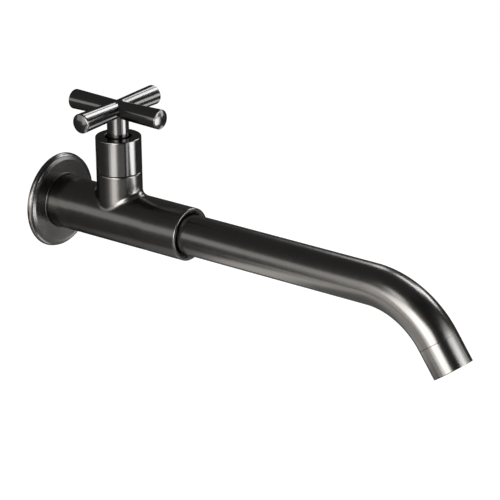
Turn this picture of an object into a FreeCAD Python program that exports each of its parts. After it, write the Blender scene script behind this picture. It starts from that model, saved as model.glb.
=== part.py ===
import FreeCAD, Part
import math
import os
import Sketcher

# A wall-mounted cold water tap, in millimetres.
# The origin is where the inlet's axis meets the plane of the wall. +Z is up, -Y points out of
# the wall, and +X is to the right for someone who faces the wall. The barrel lies along Y, the
# bonnet and its cross handle stand upright on it, and the spout carries on from the barrel's
# open end and bends down.

SIZES = {
    # Quarter-turn cartridge, radii. Its thread is the half-inch one, and the walls round it set
    # the bonnet, the barrel and the spout.
    "shell_thread_radius": 10.48,
    "thread_clearance": 0.05,
    "fitting_clearance": 0.1,
    "running_clearance": 0.05,
    "skirt_step": 1.48,
    "skirt_wall": 1.2,
    "chamber_room": 1.0,
    "head_room": 0.3,
    "hex_corner_room": 0.45,
    "shell_neck_radius": 8.4,
    "shell_neck_wall": 1.4,
    "shell_edge_bevel": 0.4,
    # Walls round the cartridge
    "spigot_wall": 2.12,
    "bonnet_wall": 1.5,
    "bonnet_thread_step": 0.3,
    "barrel_step": 2.3,
    # Cartridge, heights above the seat
    "seat_height": 4.0,
    "seal_standing_height": 3.2,
    "seal_wall": 2.2,
    "port_ledge": 0.5,
    "shell_lift": 1.5,
    "disc_thickness": 2.6,
    "disc_gap": 0.02,
    "disc_side_clearance": 0.08,
    "port_rim": 2.1,
    "port_inner_radius": 1.8,
    "port_half_angle": 40.0,
    "opening_half_angle": 43.0,
    "window_width": 9.0,
    "window_sill": 0.18,
    "window_lintel": 0.32,
    # Cartridge, heights above the boss
    "spigot_height": 5.0,
    "head_washer_thickness": 1.0,
    "shell_thread_length": 10.0,
    "thread_run_out": 2.0,
    "shell_head_thickness": 1.2,
    "shell_hex_height": 4.8,
    "shell_neck_length": 5.0,
    # Spindle
    "stem_radius": 4.6,
    "driver_opening_height": 3.9,
    "driver_shoulder": 2.98,
    "dog_start": 3.1,
    "dog_rim": 1.3,
    "dog_width": 2.2,
    "dog_height": 1.1,
    "dog_clearance": 0.1,
    "spindle_washer_thickness": 0.9,
    "stem_seal_depth": 1.3,
    "stem_seal_width": 2.0,
    "stem_seal_rise": 5.7,
    "stem_seal_pitch": 5.0,
    "seal_clearance": 0.02,
    "seal_side_room": 0.2,
    "seal_shoulder": 0.3,
    "spline_step": 0.6,
    "spline_engagement": 11.5,
    "spline_depth": 0.4,
    "spline_flare": 0.75,
    "spline_teeth": 20,
    "spline_bevel": 0.5,
    # Quarter-turn stop
    "handle_turn": 90.0,
    "stop_well_depth": 2.5,
    "stop_ring_wall": 1.45,
    "stop_ring_thickness": 1.7,
    "stop_lug_half_angle": 20.0,
    "stop_margin": 1.0,
    "stop_clearance": 0.15,
    "circlip_thickness": 0.8,
    "circlip_groove_depth": 0.6,
    "circlip_opening": 50.0,
    # Bonnet sleeve
    "bonnet_head_room": 1.0,
    "bonnet_top_wall": 4.0,
    "bonnet_bevel": 0.6,
    "bonnet_hole_bevel": 0.4,
    "bonnet_thread_length": 6.0,
    "neck_gap": 1.45,
    # Cross handle
    "bush_wall": 1.15,
    "bush_sink": 0.4,
    "bush_end_room": 1.0,
    "neck_wall": 1.45,
    "neck_foot_gap": 1.5,
    "neck_bevel": 0.4,
    "neck_root": 1.8,
    "hub_rise": 17.0,
    "arm_length": 35.1,
    "arm_root_radius": 5.35,
    "arm_tip_radius": 6.15,
    "arm_end_bevel": 0.6,
    "arm_end_crown": 1.1,
    "arm_count": 4,
    "handle_screw_rise": 4.0,
    "handle_screw_radius": 1.45,
    "handle_screw_key": 1.5,
    "screw_key_depth": 1.2,
    # Barrel and boss, one casting. A reach is a distance from the wall.
    "barrel_stand_off": 1.0,
    "barrel_end_bevel": 0.6,
    "tower_reach": 50.5,
    "boss_height": 30.0,
    "junction_fillet": 3.5,
    "seam_bevel": 0.25,
    "inlet_chamber_length": 3.4,
    "inlet_way_radius": 5.0,
    "inlet_way_drop": 5.2,
    "outlet_way_radius": 4.8,
    "outlet_way_rise": 6.8,
    "tower_to_socket": 21.8,
    # Inlet: a G1/2 nipple, 20.955 mm over its threads
    "nipple_radius": 10.48,
    "nipple_out": 16.0,
    "nipple_in": 15.0,
    "nipple_bevel": 1.2,
    "nipple_relief_depth": 0.88,
    "nipple_relief_width": 1.5,
    "nipple_key_width": 12.0,
    "nipple_key_depth": 8.0,
    "nipple_key_step": 0.2,
    "inlet_washer_thickness": 2.0,
    "inlet_washer_room": 0.8,
    "strainer_seat": 1.18,
    "strainer_thickness": 0.6,
    "strainer_hole_radius": 0.7,
    "strainer_inner_circle": 2.2,
    "strainer_outer_circle": 4.6,
    "inner_holes": 6,
    "outer_holes": 12,
    # Wall flange
    "flange_radius": 29.6,
    "flange_thickness": 4.0,
    "flange_edge_height": 1.2,
    "flange_rim_width": 5.0,
    "flange_rim_curve": 12.0,
    "flange_face_crown": 0.5,
    "flange_gap": 0.25,
    "flange_lip_width": 1.1,
    "flange_lip_height": 0.7,
    "flange_lip_bevel": 0.4,
    "flange_seal_place": 1.9,
    "flange_seal_width": 1.7,
    "flange_seal_section": 1.6,
    "gasket_thickness": 1.2,
    "gasket_ledge": 3.25,
    "gasket_rim": 3.0,
    # Spout socket in the barrel, and the tail that turns in it
    "mouth_wall": 3.2,
    "recess_gap": 0.7,
    "recess_depth": 5.0,
    "recess_bevel": 0.4,
    "tail_step": 0.7,
    "tail_wall": 3.0,
    "tail_end_gap": 2.0,
    "tail_bevel": 0.8,
    "tail_first_land": 3.0,
    "tail_land": 2.0,
    "tail_insert": 10.0,
    "tube_rear_gap": 1.0,
    "slip_ring_width": 3.0,
    "slip_ring_thickness": 1.2,
    "slip_ring_slit": 6.0,
    "spout_seal_width": 2.6,
    "spout_seal_section": 1.55,
    "lock_groove_width": 3.0,
    "lock_groove_depth": 1.5,
    "lock_tip_gap": 0.3,
    "lock_screw_radius": 2.0,
    "lock_screw_sink": 0.3,
    "lock_screw_key": 2.0,
    "spout_turn": 90.0,
    "spout_turn_margin": 9.0,
    # Spout
    "spout_wall": 1.2,
    "spout_straight": 135.0,
    "bend_radius": 57.0,
    "bend_angle": 55.0,
    "tube_end_length": 0.5,
    "solder_gap": 0.05,
    # Outlet
    "housing_length": 18.5,
    "housing_wall": 1.5,
    "housing_bevel": 0.3,
    "housing_spigot": 3.0,
    "spigot_clearance": 0.12,
    "aerator_ledge": 1.8,
    "aerator_wall": 1.3,
    "aerator_length": 8.6,
    "aerator_sink": 0.5,
    "aerator_washer_thickness": 1.4,
    "aerator_washer_ledge": 1.6,
    "key_notch_width": 2.4,
    "key_notch_depth": 1.2,
    "key_notches": 4,
    "jet_sink": 0.6,
    "jet_cell_width": 1.8,
    "jet_cell_depth": 4.0,
    "jet_rim": 3.35,
}


class Length:
    """A number together with the sheet formula that gives it."""

    def __init__(self, value, formula):
        self.value = float(value)
        self.formula = formula

    def joined(self, other, sign, value):
        return Length(value, "(" + self.formula + " " + sign + " " + as_length(other).formula + ")")

    def __add__(self, other):
        return self.joined(other, "+", self.value + as_length(other).value)

    def __sub__(self, other):
        return self.joined(other, "-", self.value - as_length(other).value)

    def __mul__(self, other):
        return self.joined(other, "*", self.value * as_length(other).value)

    def __truediv__(self, other):
        return self.joined(other, "/", self.value / as_length(other).value)

    def __neg__(self):
        return Length(-self.value, "(0 - " + self.formula + ")")

    def __radd__(self, other):
        return as_length(other) + self

    def __rsub__(self, other):
        return as_length(other) - self

    def __rmul__(self, other):
        return as_length(other) * self


def as_length(item):
    """Gives a plain number a formula of its own, and leaves a Length alone."""
    if isinstance(item, Length):
        return item
    return Length(item, "%.9f" % item)


class SheetValues:
    """Reads a value of the sheet by its name, as in barrel_radius."""

    def __getattr__(self, name):
        return Length(SIZES[name], "Sizes." + name)


dim = SheetValues()
HALF = Length(0.5, "0.5")


def sine(angle):
    return Length(math.sin(math.radians(angle.value)), "sin(" + angle.formula + ")")


def cosine(angle):
    return Length(math.cos(math.radians(angle.value)), "cos(" + angle.formula + ")")


def polar(radius, angle):
    """A point at a radius and an angle in degrees from the sketch's first axis."""
    angle = as_length(angle)
    return radius * cosine(angle), radius * sine(angle)


doc = FreeCAD.newDocument("wall_tap")
sheet = doc.addObject("Spreadsheet::Sheet", "Sizes")
for row, (alias, number) in enumerate(SIZES.items(), start=1):
    sheet.set("A" + str(row), alias)
    sheet.set("B" + str(row), str(number))
    sheet.setAlias("B" + str(row), alias)
doc.recompute()

pieces = []

# A turned piece has its profile beside its axis. Lying pieces turn about Y, and a profile point
# is (place along Y, radius). Upright pieces turn about Z, and a point is (radius, height).
LYING = ("YZ_Plane", "H_Axis")
UPRIGHT = ("XZ_Plane", "V_Axis")


def new_piece(label):
    """Starts a body whose label is also its file's name."""
    body = doc.addObject("PartDesign::Body", label)
    body.Label = label
    pieces.append(body)
    return body


def new_tower_piece(label):
    """Starts a body on the upright axis, with heights above the barrel's axis."""
    body = new_piece(label)
    body.setExpression("Placement.Base.y", (-dim.tower_reach).formula)
    return body


def add_sketch(body, name, role, lift=None):
    """Puts a sketch on one of the body's origin planes, or above it by lift."""
    sketch = body.newObject("Sketcher::SketchObject", name + "_sketch")
    plane = [item for item in body.Origin.OriginFeatures if item.Role == role][0]
    sketch.AttachmentSupport = [(plane, "")]
    sketch.MapMode = "FlatFace"
    if lift is not None:
        sketch.setExpression("AttachmentOffset.Base.z", lift.formula)
    return sketch


def tie(sketch, kind, references, value):
    """Adds a constraint whose value comes from the sheet."""
    value = as_length(value)
    index = sketch.addConstraint(Sketcher.Constraint(kind, *references, value.value))
    sketch.setExpression("Constraints[" + str(index) + "]", value.formula)


def tie_point(sketch, curve, end, point):
    """Ties one end of a curve to its two coordinates."""
    tie(sketch, "DistanceX", (-1, 1, curve, end), point[0])
    tie(sketch, "DistanceY", (-1, 1, curve, end), point[1])


def add_edge(sketch, start, finish, radius):
    """Adds a line, or an arc that turns left for a positive radius and right for a negative one.

    Returns the curve's number and which of its ends is the start and which the finish.
    """
    first = FreeCAD.Vector(as_length(start[0]).value, as_length(start[1]).value, 0)
    last = FreeCAD.Vector(as_length(finish[0]).value, as_length(finish[1]).value, 0)
    if radius is None:
        return sketch.addGeometry(Part.LineSegment(first, last), False), 1, 2
    size = abs(radius.value)
    chord = last - first
    left = FreeCAD.Vector(-chord.y, chord.x, 0) / chord.Length
    rise = math.sqrt(max(size ** 2 - (chord.Length / 2) ** 2, 0))
    side = 1 if radius.value > 0 else -1
    centre = (first + last) / 2 + left * rise * side
    circle = Part.Circle(centre, FreeCAD.Vector(0, 0, 1), size)
    angles = [math.atan2(point.y - centre.y, point.x - centre.x) for point in (first, last)]
    if side < 0:
        angles.reverse()
    curve = sketch.addGeometry(Part.ArcOfCircle(circle, angles[0], angles[1]), False)
    tie(sketch, "Radius", (curve,), radius * side)
    return (curve, 1, 2) if side > 0 else (curve, 2, 1)


def draw(sketch, corners, closed=True):
    """Draws an outline through corners, each tied to the sheet.

    A corner is (across, up), or (across, up, radius) where an arc runs from it to the next.
    """
    count = len(corners) if closed else len(corners) - 1
    edges = []
    for index in range(count):
        start = corners[index]
        finish = corners[(index + 1) % len(corners)]
        radius = start[2] if len(start) > 2 else None
        edges.append(add_edge(sketch, start, finish, radius))
    for index, (curve, start_end, finish_end) in enumerate(edges):
        tie_point(sketch, curve, start_end, corners[index])
        if closed or index + 1 < count:
            following, following_start, _ = edges[(index + 1) % count]
            joined = (curve, finish_end, following, following_start)
            sketch.addConstraint(Sketcher.Constraint("Coincident", *joined))
        else:
            tie_point(sketch, curve, finish_end, corners[index + 1])


def draw_circle(sketch, across, up, radius):
    """Draws a circle with its centre and radius tied to the sheet."""
    across, up = as_length(across), as_length(up)
    centre = FreeCAD.Vector(across.value, up.value, 0)
    curve = sketch.addGeometry(Part.Circle(centre, FreeCAD.Vector(0, 0, 1), radius.value), False)
    tie_point(sketch, curve, 3, (across, up))
    tie(sketch, "Radius", (curve,), radius)


def rectangle(low_across, high_across, low_up, high_up):
    return [(low_across, low_up), (high_across, low_up), (high_across, high_up), (low_across, high_up)]


def hexagon(width):
    """The corners of a hexagon with the given width across flats."""
    corner = width / math.sqrt(3)
    return [polar(corner, 60 * turn) for turn in range(6)]


def sector(inner, outer, half_angle):
    """A ring's sector, centred on the first axis."""
    return [
        polar(inner, -half_angle),
        polar(outer, -half_angle) + (outer,),
        polar(outer, half_angle),
        polar(inner, half_angle) + (-inner,),
    ]


def squeezed(low_across, high_across, low_up, high_up):
    """A squeezed seal's section: flat where it is pressed, with bevelled shoulders."""
    wide = (high_across - low_across).value > (high_up - low_up).value
    shorter = high_up - low_up if wide else high_across - low_across
    bevel = shorter * dim.seal_shoulder
    return [
        (low_across + bevel, low_up),
        (high_across - bevel, low_up),
        (high_across, low_up + bevel),
        (high_across, high_up - bevel),
        (high_across - bevel, high_up),
        (low_across + bevel, high_up),
        (low_across, high_up - bevel),
        (low_across, low_up + bevel),
    ]


def revolve(body, kind, name, frame, corners, about=None, angle=None, balanced=False):
    """Turns an outline about its frame's axis, or about a line through two points."""
    sketch = add_sketch(body, name, frame[0])
    draw(sketch, corners)
    axis = frame[1]
    if about is not None:
        ends = [FreeCAD.Vector(as_length(end[0]).value, as_length(end[1]).value, 0) for end in about]
        line = sketch.addGeometry(Part.LineSegment(ends[0], ends[1]), True)
        tie_point(sketch, line, 1, about[0])
        tie_point(sketch, line, 2, about[1])
        axis = "Axis0"
    feature = body.newObject(kind, name)
    feature.Profile = sketch
    feature.ReferenceAxis = (sketch, [axis])
    feature.Midplane = balanced
    if angle is None:
        feature.Angle = 360
    else:
        feature.setExpression("Angle", angle.formula)
    return feature


def turn(body, name, frame, corners, about=None, angle=None):
    return revolve(body, "PartDesign::Revolution", name, frame, corners, about, angle)


def bore(body, name, frame, corners, about=None, angle=None, balanced=False):
    return revolve(body, "PartDesign::Groove", name, frame, corners, about, angle, balanced)


def extrude(body, kind, name, sketch, depth, backwards=False):
    feature = body.newObject(kind, name)
    feature.Profile = sketch
    feature.setExpression("Length", depth.formula)
    feature.Reversed = backwards
    return feature


def pad(body, name, sketch, depth, backwards=False):
    return extrude(body, "PartDesign::Pad", name, sketch, depth, backwards)


def pocket(body, name, sketch, depth, backwards=False):
    return extrude(body, "PartDesign::Pocket", name, sketch, depth, backwards)


def repeat_round(body, name, feature, count, role="Z_Axis"):
    """Repeats a feature evenly about one of the body's axes."""
    pattern = body.newObject("PartDesign::PolarPattern", name)
    pattern.Originals = [feature]
    axis = [item for item in body.Origin.OriginFeatures if item.Role == role][0]
    pattern.Axis = (axis, [""])
    pattern.Angle = 360
    pattern.setExpression("Occurrences", count.formula)
    body.Tip = pattern
    return pattern


def plain_ring(label, frame, low_across, high_across, low_up, high_up, on_tower=False):
    body = new_tower_piece(label) if on_tower else new_piece(label)
    turn(body, label + "_turned", frame, rectangle(low_across, high_across, low_up, high_up))
    return body


# Radii that several pieces share, from the cartridge's thread outwards
spigot_radius = dim.shell_thread_radius + dim.spigot_wall
tower_radius = spigot_radius + dim.bonnet_wall
barrel_radius = tower_radius + dim.barrel_step
bonnet_inner_radius = spigot_radius - dim.bonnet_thread_step
shell_head_radius = bonnet_inner_radius - dim.head_room
skirt_radius = dim.shell_thread_radius - dim.skirt_step
skirt_bore_radius = skirt_radius - dim.skirt_wall
disc_radius = skirt_bore_radius - dim.fitting_clearance
seal_inner_radius = disc_radius - dim.seal_wall
seat_port_radius = seal_inner_radius - dim.port_ledge
turning_radius = skirt_bore_radius - dim.disc_side_clearance
spline_radius = dim.stem_radius - dim.spline_step
spline_room = spline_radius + dim.running_clearance
stop_ring_radius = spline_room + dim.stop_ring_wall
bush_radius = spline_room + dim.bush_wall
neck_radius = bush_radius + dim.running_clearance + dim.neck_wall
recess_radius = barrel_radius - dim.mouth_wall
spout_radius = recess_radius - dim.recess_gap
tube_inner = spout_radius - dim.spout_wall
tail_radius = spout_radius - dim.tail_step
tail_bore_radius = tail_radius - dim.tail_wall
socket_radius = tail_radius + dim.running_clearance
lock_floor = tail_radius - dim.lock_groove_depth
aerator_radius = spout_radius - dim.housing_wall
housing_bore_radius = aerator_radius - dim.aerator_ledge
nipple_bore_radius = dim.nipple_key_width * HALF - dim.nipple_key_step

# Heights that several pieces share, above the barrel's axis
shell_foot = dim.seat_height + dim.shell_lift
disc_floor = dim.seat_height + dim.seal_standing_height
moving_floor = disc_floor + dim.disc_thickness + dim.disc_gap
driver_foot = moving_floor + dim.disc_thickness
driver_opening_top = driver_foot + dim.driver_opening_height
driver_top = driver_opening_top + dim.driver_shoulder
spindle_washer_low = driver_top + dim.running_clearance
skirt_bore_top = spindle_washer_low + dim.spindle_washer_thickness + dim.running_clearance
stem_seal_low = skirt_bore_top + dim.stem_seal_rise
stem_seal_high = stem_seal_low + dim.stem_seal_pitch
spigot_top = dim.boss_height + dim.spigot_height
head_underside = spigot_top + dim.head_washer_thickness
head_top = head_underside + dim.shell_head_thickness
shell_top = head_top + dim.shell_hex_height + dim.shell_neck_length
spline_foot = shell_top - dim.stop_well_depth
bonnet_ceiling = shell_top + dim.bonnet_head_room
bonnet_top = bonnet_ceiling + dim.bonnet_top_wall
neck_foot = shell_top + dim.neck_foot_gap
spline_top = neck_foot + dim.spline_engagement
hub_height = bonnet_top + dim.hub_rise
handle_screw_height = bonnet_top + dim.handle_screw_rise

# Places along Y that several pieces share, from the wall outwards
rear = -dim.barrel_stand_off
inlet_floor = -(dim.nipple_in + dim.inlet_washer_thickness + dim.strainer_thickness)
socket_floor = -(dim.tower_reach + dim.tower_to_socket)
tail_rear = socket_floor - dim.tail_end_gap
ring_room = dim.slip_ring_width + dim.running_clearance
seal_room = dim.spout_seal_width + dim.seal_side_room
slip_rear_start = tail_rear - dim.tail_first_land
seal_rear_start = slip_rear_start - ring_room - dim.tail_land
seal_front_start = seal_rear_start - seal_room - dim.tail_land
lock_start = seal_front_start - seal_room - dim.tail_land
lock_station = lock_start - dim.lock_groove_width * HALF
slip_front_start = lock_start - dim.lock_groove_width - dim.tail_land
tube_rear = slip_front_start - ring_room - dim.tail_land
recess_floor = tube_rear + dim.tube_rear_gap
mouth = recess_floor - dim.recess_depth
bend_start = mouth - dim.spout_straight


def new_outlet_piece(label):
    """Starts a body at the tube's lower end, with its own Z along the water's way out."""
    body = new_piece(label)
    body.Placement = FreeCAD.Placement(FreeCAD.Vector(), FreeCAD.Rotation(FreeCAD.Vector(1, 0, 0), 90))
    run = dim.bend_radius * sine(dim.bend_angle) + dim.tube_end_length * cosine(dim.bend_angle)
    drop = dim.bend_radius * (1 - cosine(dim.bend_angle)) + dim.tube_end_length * sine(dim.bend_angle)
    body.setExpression("Placement.Base.y", (bend_start - run).formula)
    body.setExpression("Placement.Base.z", (-drop).formula)
    body.setExpression("Placement.Rotation.Angle", (90 + dim.bend_angle).formula)
    return body


def find_junction(shape):
    """Names the edges where the upright boss meets the lying barrel."""
    names = []
    for number, edge in enumerate(shape.Edges, start=1):
        middle = edge.valueAt((edge.FirstParameter + edge.LastParameter) / 2)
        from_barrel = math.hypot(middle.x, middle.z) - barrel_radius.value
        from_tower = math.hypot(middle.x, middle.y + dim.tower_reach.value) - tower_radius.value
        if abs(from_barrel) < 0.001 and abs(from_tower) < 0.001:
            names.append("Edge" + str(number))
    return names


def make_valve_body():
    """The cast tee: barrel, boss and spigot outside, and the water's way from inlet to spout inside."""
    body = new_piece("valve_body")
    turn(body, "barrel", LYING, [
        (rear, 0),
        (rear, barrel_radius - dim.seam_bevel),
        (rear - dim.seam_bevel, barrel_radius),
        (mouth + dim.barrel_end_bevel, barrel_radius),
        (mouth, barrel_radius - dim.barrel_end_bevel),
        (mouth, 0),
    ])
    centre = -dim.tower_reach
    upright_axis = ((centre, 0), (centre, spigot_top))
    boss = turn(body, "boss", LYING, [
        (centre, 0),
        (centre + tower_radius, 0),
        (centre + tower_radius, dim.boss_height - dim.seam_bevel),
        (centre + tower_radius - dim.seam_bevel, dim.boss_height),
        (centre + spigot_radius, dim.boss_height),
        (centre + spigot_radius, spigot_top),
        (centre, spigot_top),
    ], upright_axis)
    doc.recompute()
    fillet = body.newObject("PartDesign::Fillet", "junction")
    fillet.Base = (boss, find_junction(boss.Shape))
    fillet.setExpression("Radius", dim.junction_fillet.formula)
    bore(body, "spout_socket", LYING, [
        (mouth, 0),
        (mouth, recess_radius + dim.recess_bevel),
        (mouth + dim.recess_bevel, recess_radius),
        (recess_floor, recess_radius),
        (recess_floor, socket_radius),
        (socket_floor, socket_radius),
        (socket_floor, 0),
    ])
    chamber_end = inlet_floor - dim.inlet_chamber_length
    inlet_thread = dim.nipple_radius + dim.thread_clearance
    chamber_radius = dim.nipple_radius - dim.strainer_seat
    bore(body, "inlet_socket", LYING, [
        (rear, 0),
        (rear, inlet_thread),
        (inlet_floor, inlet_thread),
        (inlet_floor, chamber_radius),
        (chamber_end, chamber_radius),
        (chamber_end, 0),
    ])
    inlet_level = -dim.inlet_way_drop
    inlet_end = centre - seat_port_radius
    bore(body, "inlet_way", LYING, [
        (chamber_end, inlet_level),
        (chamber_end, inlet_level + dim.inlet_way_radius),
        (inlet_end, inlet_level + dim.inlet_way_radius),
        (inlet_end, inlet_level),
    ], ((chamber_end, inlet_level), (inlet_end, inlet_level)))
    shell_thread = dim.shell_thread_radius + dim.thread_clearance
    chamber = skirt_radius + dim.chamber_room
    thread_foot = head_underside - dim.shell_thread_length - dim.thread_run_out
    bore(body, "valve_chamber", LYING, [
        (centre, inlet_level),
        (centre + seat_port_radius, inlet_level),
        (centre + seat_port_radius, dim.seat_height),
        (centre + chamber, dim.seat_height),
        (centre + chamber, thread_foot),
        (centre + shell_thread, thread_foot),
        (centre + shell_thread, spigot_top),
        (centre, spigot_top),
    ], upright_axis)
    way_start = centre - skirt_radius
    way_level = dim.outlet_way_rise
    bore(body, "outlet_way", LYING, [
        (way_start, way_level),
        (way_start, way_level + dim.outlet_way_radius),
        (socket_floor, way_level + dim.outlet_way_radius),
        (socket_floor, way_level),
    ], ((way_start, way_level), (socket_floor, way_level)))
    screw_hole = dim.lock_screw_radius + dim.thread_clearance
    hole_end = -lock_floor
    bore(body, "lock_screw_hole", LYING, [
        (lock_station, -barrel_radius),
        (lock_station + screw_hole, -barrel_radius),
        (lock_station + screw_hole, hole_end),
        (lock_station, hole_end),
    ], ((lock_station, -barrel_radius), (lock_station, hole_end)))


def make_inlet():
    """The threaded nipple with its key socket, the washer and the strainer."""
    nipple = new_piece("inlet_nipple")
    inner_end = -dim.nipple_in
    relief_end = rear - dim.nipple_relief_width
    relief_radius = dim.nipple_radius - dim.nipple_relief_depth
    turn(nipple, "nipple_turned", LYING, [
        (dim.nipple_out, nipple_bore_radius),
        (dim.nipple_out, dim.nipple_radius - dim.nipple_bevel),
        (dim.nipple_out - dim.nipple_bevel, dim.nipple_radius),
        (rear, dim.nipple_radius),
        (rear, relief_radius),
        (relief_end, relief_radius),
        (relief_end, dim.nipple_radius),
        (inner_end + dim.nipple_bevel, dim.nipple_radius),
        (inner_end, dim.nipple_radius - dim.nipple_bevel),
        (inner_end, nipple_bore_radius),
    ])
    key = add_sketch(nipple, "nipple_key", "XZ_Plane", dim.nipple_in)
    draw(key, hexagon(dim.nipple_key_width))
    pocket(nipple, "nipple_key", key, dim.nipple_key_depth)
    outer = dim.nipple_radius - dim.fitting_clearance
    washer_end = inner_end - dim.inlet_washer_thickness
    plain_ring("inlet_washer", LYING, washer_end, inner_end,
               nipple_bore_radius + dim.inlet_washer_room, outer)
    strainer = new_piece("inlet_strainer")
    turn(strainer, "strainer_disc", LYING, rectangle(inlet_floor, washer_end, 0, outer))
    face = dim.nipple_in + dim.inlet_washer_thickness
    rings = (("inner", dim.strainer_inner_circle, dim.inner_holes),
             ("outer", dim.strainer_outer_circle, dim.outer_holes))
    for name, circle, count in rings:
        hole = add_sketch(strainer, name + "_hole", "XZ_Plane", face)
        draw_circle(hole, circle, 0, dim.strainer_hole_radius)
        cut = pocket(strainer, name + "_hole", hole, dim.strainer_thickness, True)
        repeat_round(strainer, name + "_holes", cut, count, "Y_Axis")


def make_flange():
    """The cover plate with its curved, sloping rim and inner lip, its foam gasket and its holding ring."""
    flange = new_piece("wall_flange")
    inner = barrel_radius + dim.flange_gap
    face = -dim.flange_thickness
    crown = face - dim.flange_face_crown
    lip_outer = inner + dim.flange_lip_width
    lip = crown - dim.flange_lip_height
    seal_start = -dim.flange_seal_place
    seal_end = seal_start - dim.flange_seal_width - dim.seal_side_room
    seal_floor = barrel_radius + dim.flange_seal_section
    edge = dim.flange_lip_bevel
    gasket_outer = dim.flange_radius - dim.gasket_rim
    gasket_inner = inner + dim.gasket_ledge
    turn(flange, "flange_turned", LYING, [
        (-dim.gasket_thickness, gasket_outer),
        (0, gasket_outer),
        (0, dim.flange_radius),
        (-dim.flange_edge_height, dim.flange_radius, dim.flange_rim_curve),
        (face, dim.flange_radius - dim.flange_rim_width),
        (crown, lip_outer),
        (lip + edge, lip_outer),
        (lip, lip_outer - edge),
        (lip, inner + edge * HALF),
        (lip + edge * HALF, inner),
        (seal_end, inner),
        (seal_end, seal_floor),
        (seal_start, seal_floor),
        (seal_start, inner),
        (0, inner),
        (0, gasket_inner),
        (-dim.gasket_thickness, gasket_inner),
    ])
    room = dim.fitting_clearance
    plain_ring("flange_gasket", LYING, -dim.gasket_thickness, as_length(0),
               gasket_inner + room, gasket_outer - room)
    ring = new_piece("flange_o_ring")
    start = seal_start - dim.seal_side_room * HALF
    turn(ring, "flange_o_ring_turned", LYING,
         squeezed(start - dim.flange_seal_width, start, barrel_radius + dim.seal_clearance,
              seal_floor - dim.seal_clearance))


def make_bonnet_sleeve():
    """The sleeve that screws on the boss's spigot and hides the cartridge's head."""
    sleeve = new_tower_piece("bonnet_sleeve")
    thread = spigot_radius + dim.thread_clearance
    thread_end = dim.boss_height + dim.bonnet_thread_length
    hole = neck_radius + dim.neck_gap
    turn(sleeve, "sleeve_turned", UPRIGHT, [
        (thread, dim.boss_height),
        (tower_radius - dim.seam_bevel, dim.boss_height),
        (tower_radius, dim.boss_height + dim.seam_bevel),
        (tower_radius, bonnet_top - dim.bonnet_bevel),
        (tower_radius - dim.bonnet_bevel, bonnet_top),
        (hole + dim.bonnet_hole_bevel, bonnet_top),
        (hole, bonnet_top - dim.bonnet_hole_bevel),
        (hole, bonnet_ceiling),
        (bonnet_inner_radius, bonnet_ceiling),
        (bonnet_inner_radius, thread_end),
        (thread, thread_end),
    ])


def make_cartridge():
    """The brass shell with its windows and stop recess, its washers, seat seal and fixed disc."""
    shell = new_tower_piece("headwork_shell")
    bevel = dim.shell_edge_bevel
    thread_foot = head_underside - dim.shell_thread_length
    stem_bore = dim.stem_radius + dim.running_clearance
    turn(shell, "shell_turned", UPRIGHT, [
        (skirt_bore_radius, shell_foot),
        (skirt_radius - bevel, shell_foot),
        (skirt_radius, shell_foot + bevel),
        (skirt_radius, thread_foot),
        (dim.shell_thread_radius, thread_foot + bevel),
        (dim.shell_thread_radius, head_underside),
        (shell_head_radius, head_underside),
        (shell_head_radius, head_top),
        (dim.shell_neck_radius, head_top),
        (dim.shell_neck_radius, shell_top - bevel),
        (dim.shell_neck_radius - bevel, shell_top),
        (stem_bore, shell_top),
        (stem_bore, skirt_bore_top),
        (skirt_bore_radius, skirt_bore_top),
    ])
    spanner = add_sketch(shell, "spanner_hexagon", "XY_Plane", head_top)
    draw(spanner, hexagon((shell_head_radius - dim.hex_corner_room) * math.sqrt(3)))
    draw_circle(spanner, 0, 0, dim.shell_neck_radius - bevel)
    pad(shell, "spanner_hexagon", spanner, dim.shell_hex_height)
    window = add_sketch(shell, "window", "YZ_Plane")
    half_window = dim.window_width * HALF
    draw(window, rectangle(-half_window, half_window, moving_floor + dim.window_sill,
                           driver_opening_top - dim.window_lintel))
    windows = pocket(shell, "windows", window, 2 * skirt_radius + 2 * bevel)
    windows.Midplane = True
    stop_floor = spline_foot - dim.stop_clearance
    stop_depth = shell_top - stop_floor
    well = add_sketch(shell, "stop_well", "XY_Plane", shell_top)
    draw_circle(well, 0, 0, stop_ring_radius + dim.stop_clearance)
    pocket(shell, "stop_well", well, stop_depth)
    swing = add_sketch(shell, "stop_swing", "XY_Plane", shell_top)
    half_swing = dim.handle_turn * HALF + dim.stop_lug_half_angle + dim.stop_margin
    swing_radius = dim.shell_neck_radius - dim.shell_neck_wall
    draw(swing, sector(dim.stem_radius + dim.stop_clearance, swing_radius, half_swing))
    pocket(shell, "stop_swing", swing, stop_depth)

    plain_ring("headwork_washer", UPRIGHT, dim.shell_thread_radius + dim.fitting_clearance,
               shell_head_radius, spigot_top, head_underside, True)
    plain_ring("seat_seal", UPRIGHT, seal_inner_radius, disc_radius, dim.seat_height, disc_floor, True)

    disc = new_tower_piece("fixed_disc")
    disc_top = disc_floor + dim.disc_thickness
    turn(disc, "fixed_disc_turned", UPRIGHT,
         rectangle(as_length(0), disc_radius, disc_floor, disc_top))
    port = add_sketch(disc, "port", "XY_Plane", disc_top)
    draw(port, sector(dim.port_inner_radius, disc_radius - dim.port_rim, dim.port_half_angle))
    cut = pocket(disc, "port", port, dim.disc_thickness)
    repeat_round(disc, "ports", cut, as_length(2))


def cut_openings(body, name, top, depth):
    """Cuts the two sectors that let the water past the moving disc and its driver.

    They face front and back when the tap is shut, and the fixed disc's ports face the sides.
    """
    opening = add_sketch(body, name, "XY_Plane", top)
    front = []
    for corner in sector(dim.port_inner_radius, 2 * skirt_bore_radius, dim.opening_half_angle):
        front.append((-corner[1], corner[0]) + tuple(corner[2:]))
    draw(opening, front)
    cut = pocket(body, name, opening, depth)
    repeat_round(body, name + "s", cut, as_length(2))


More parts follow.
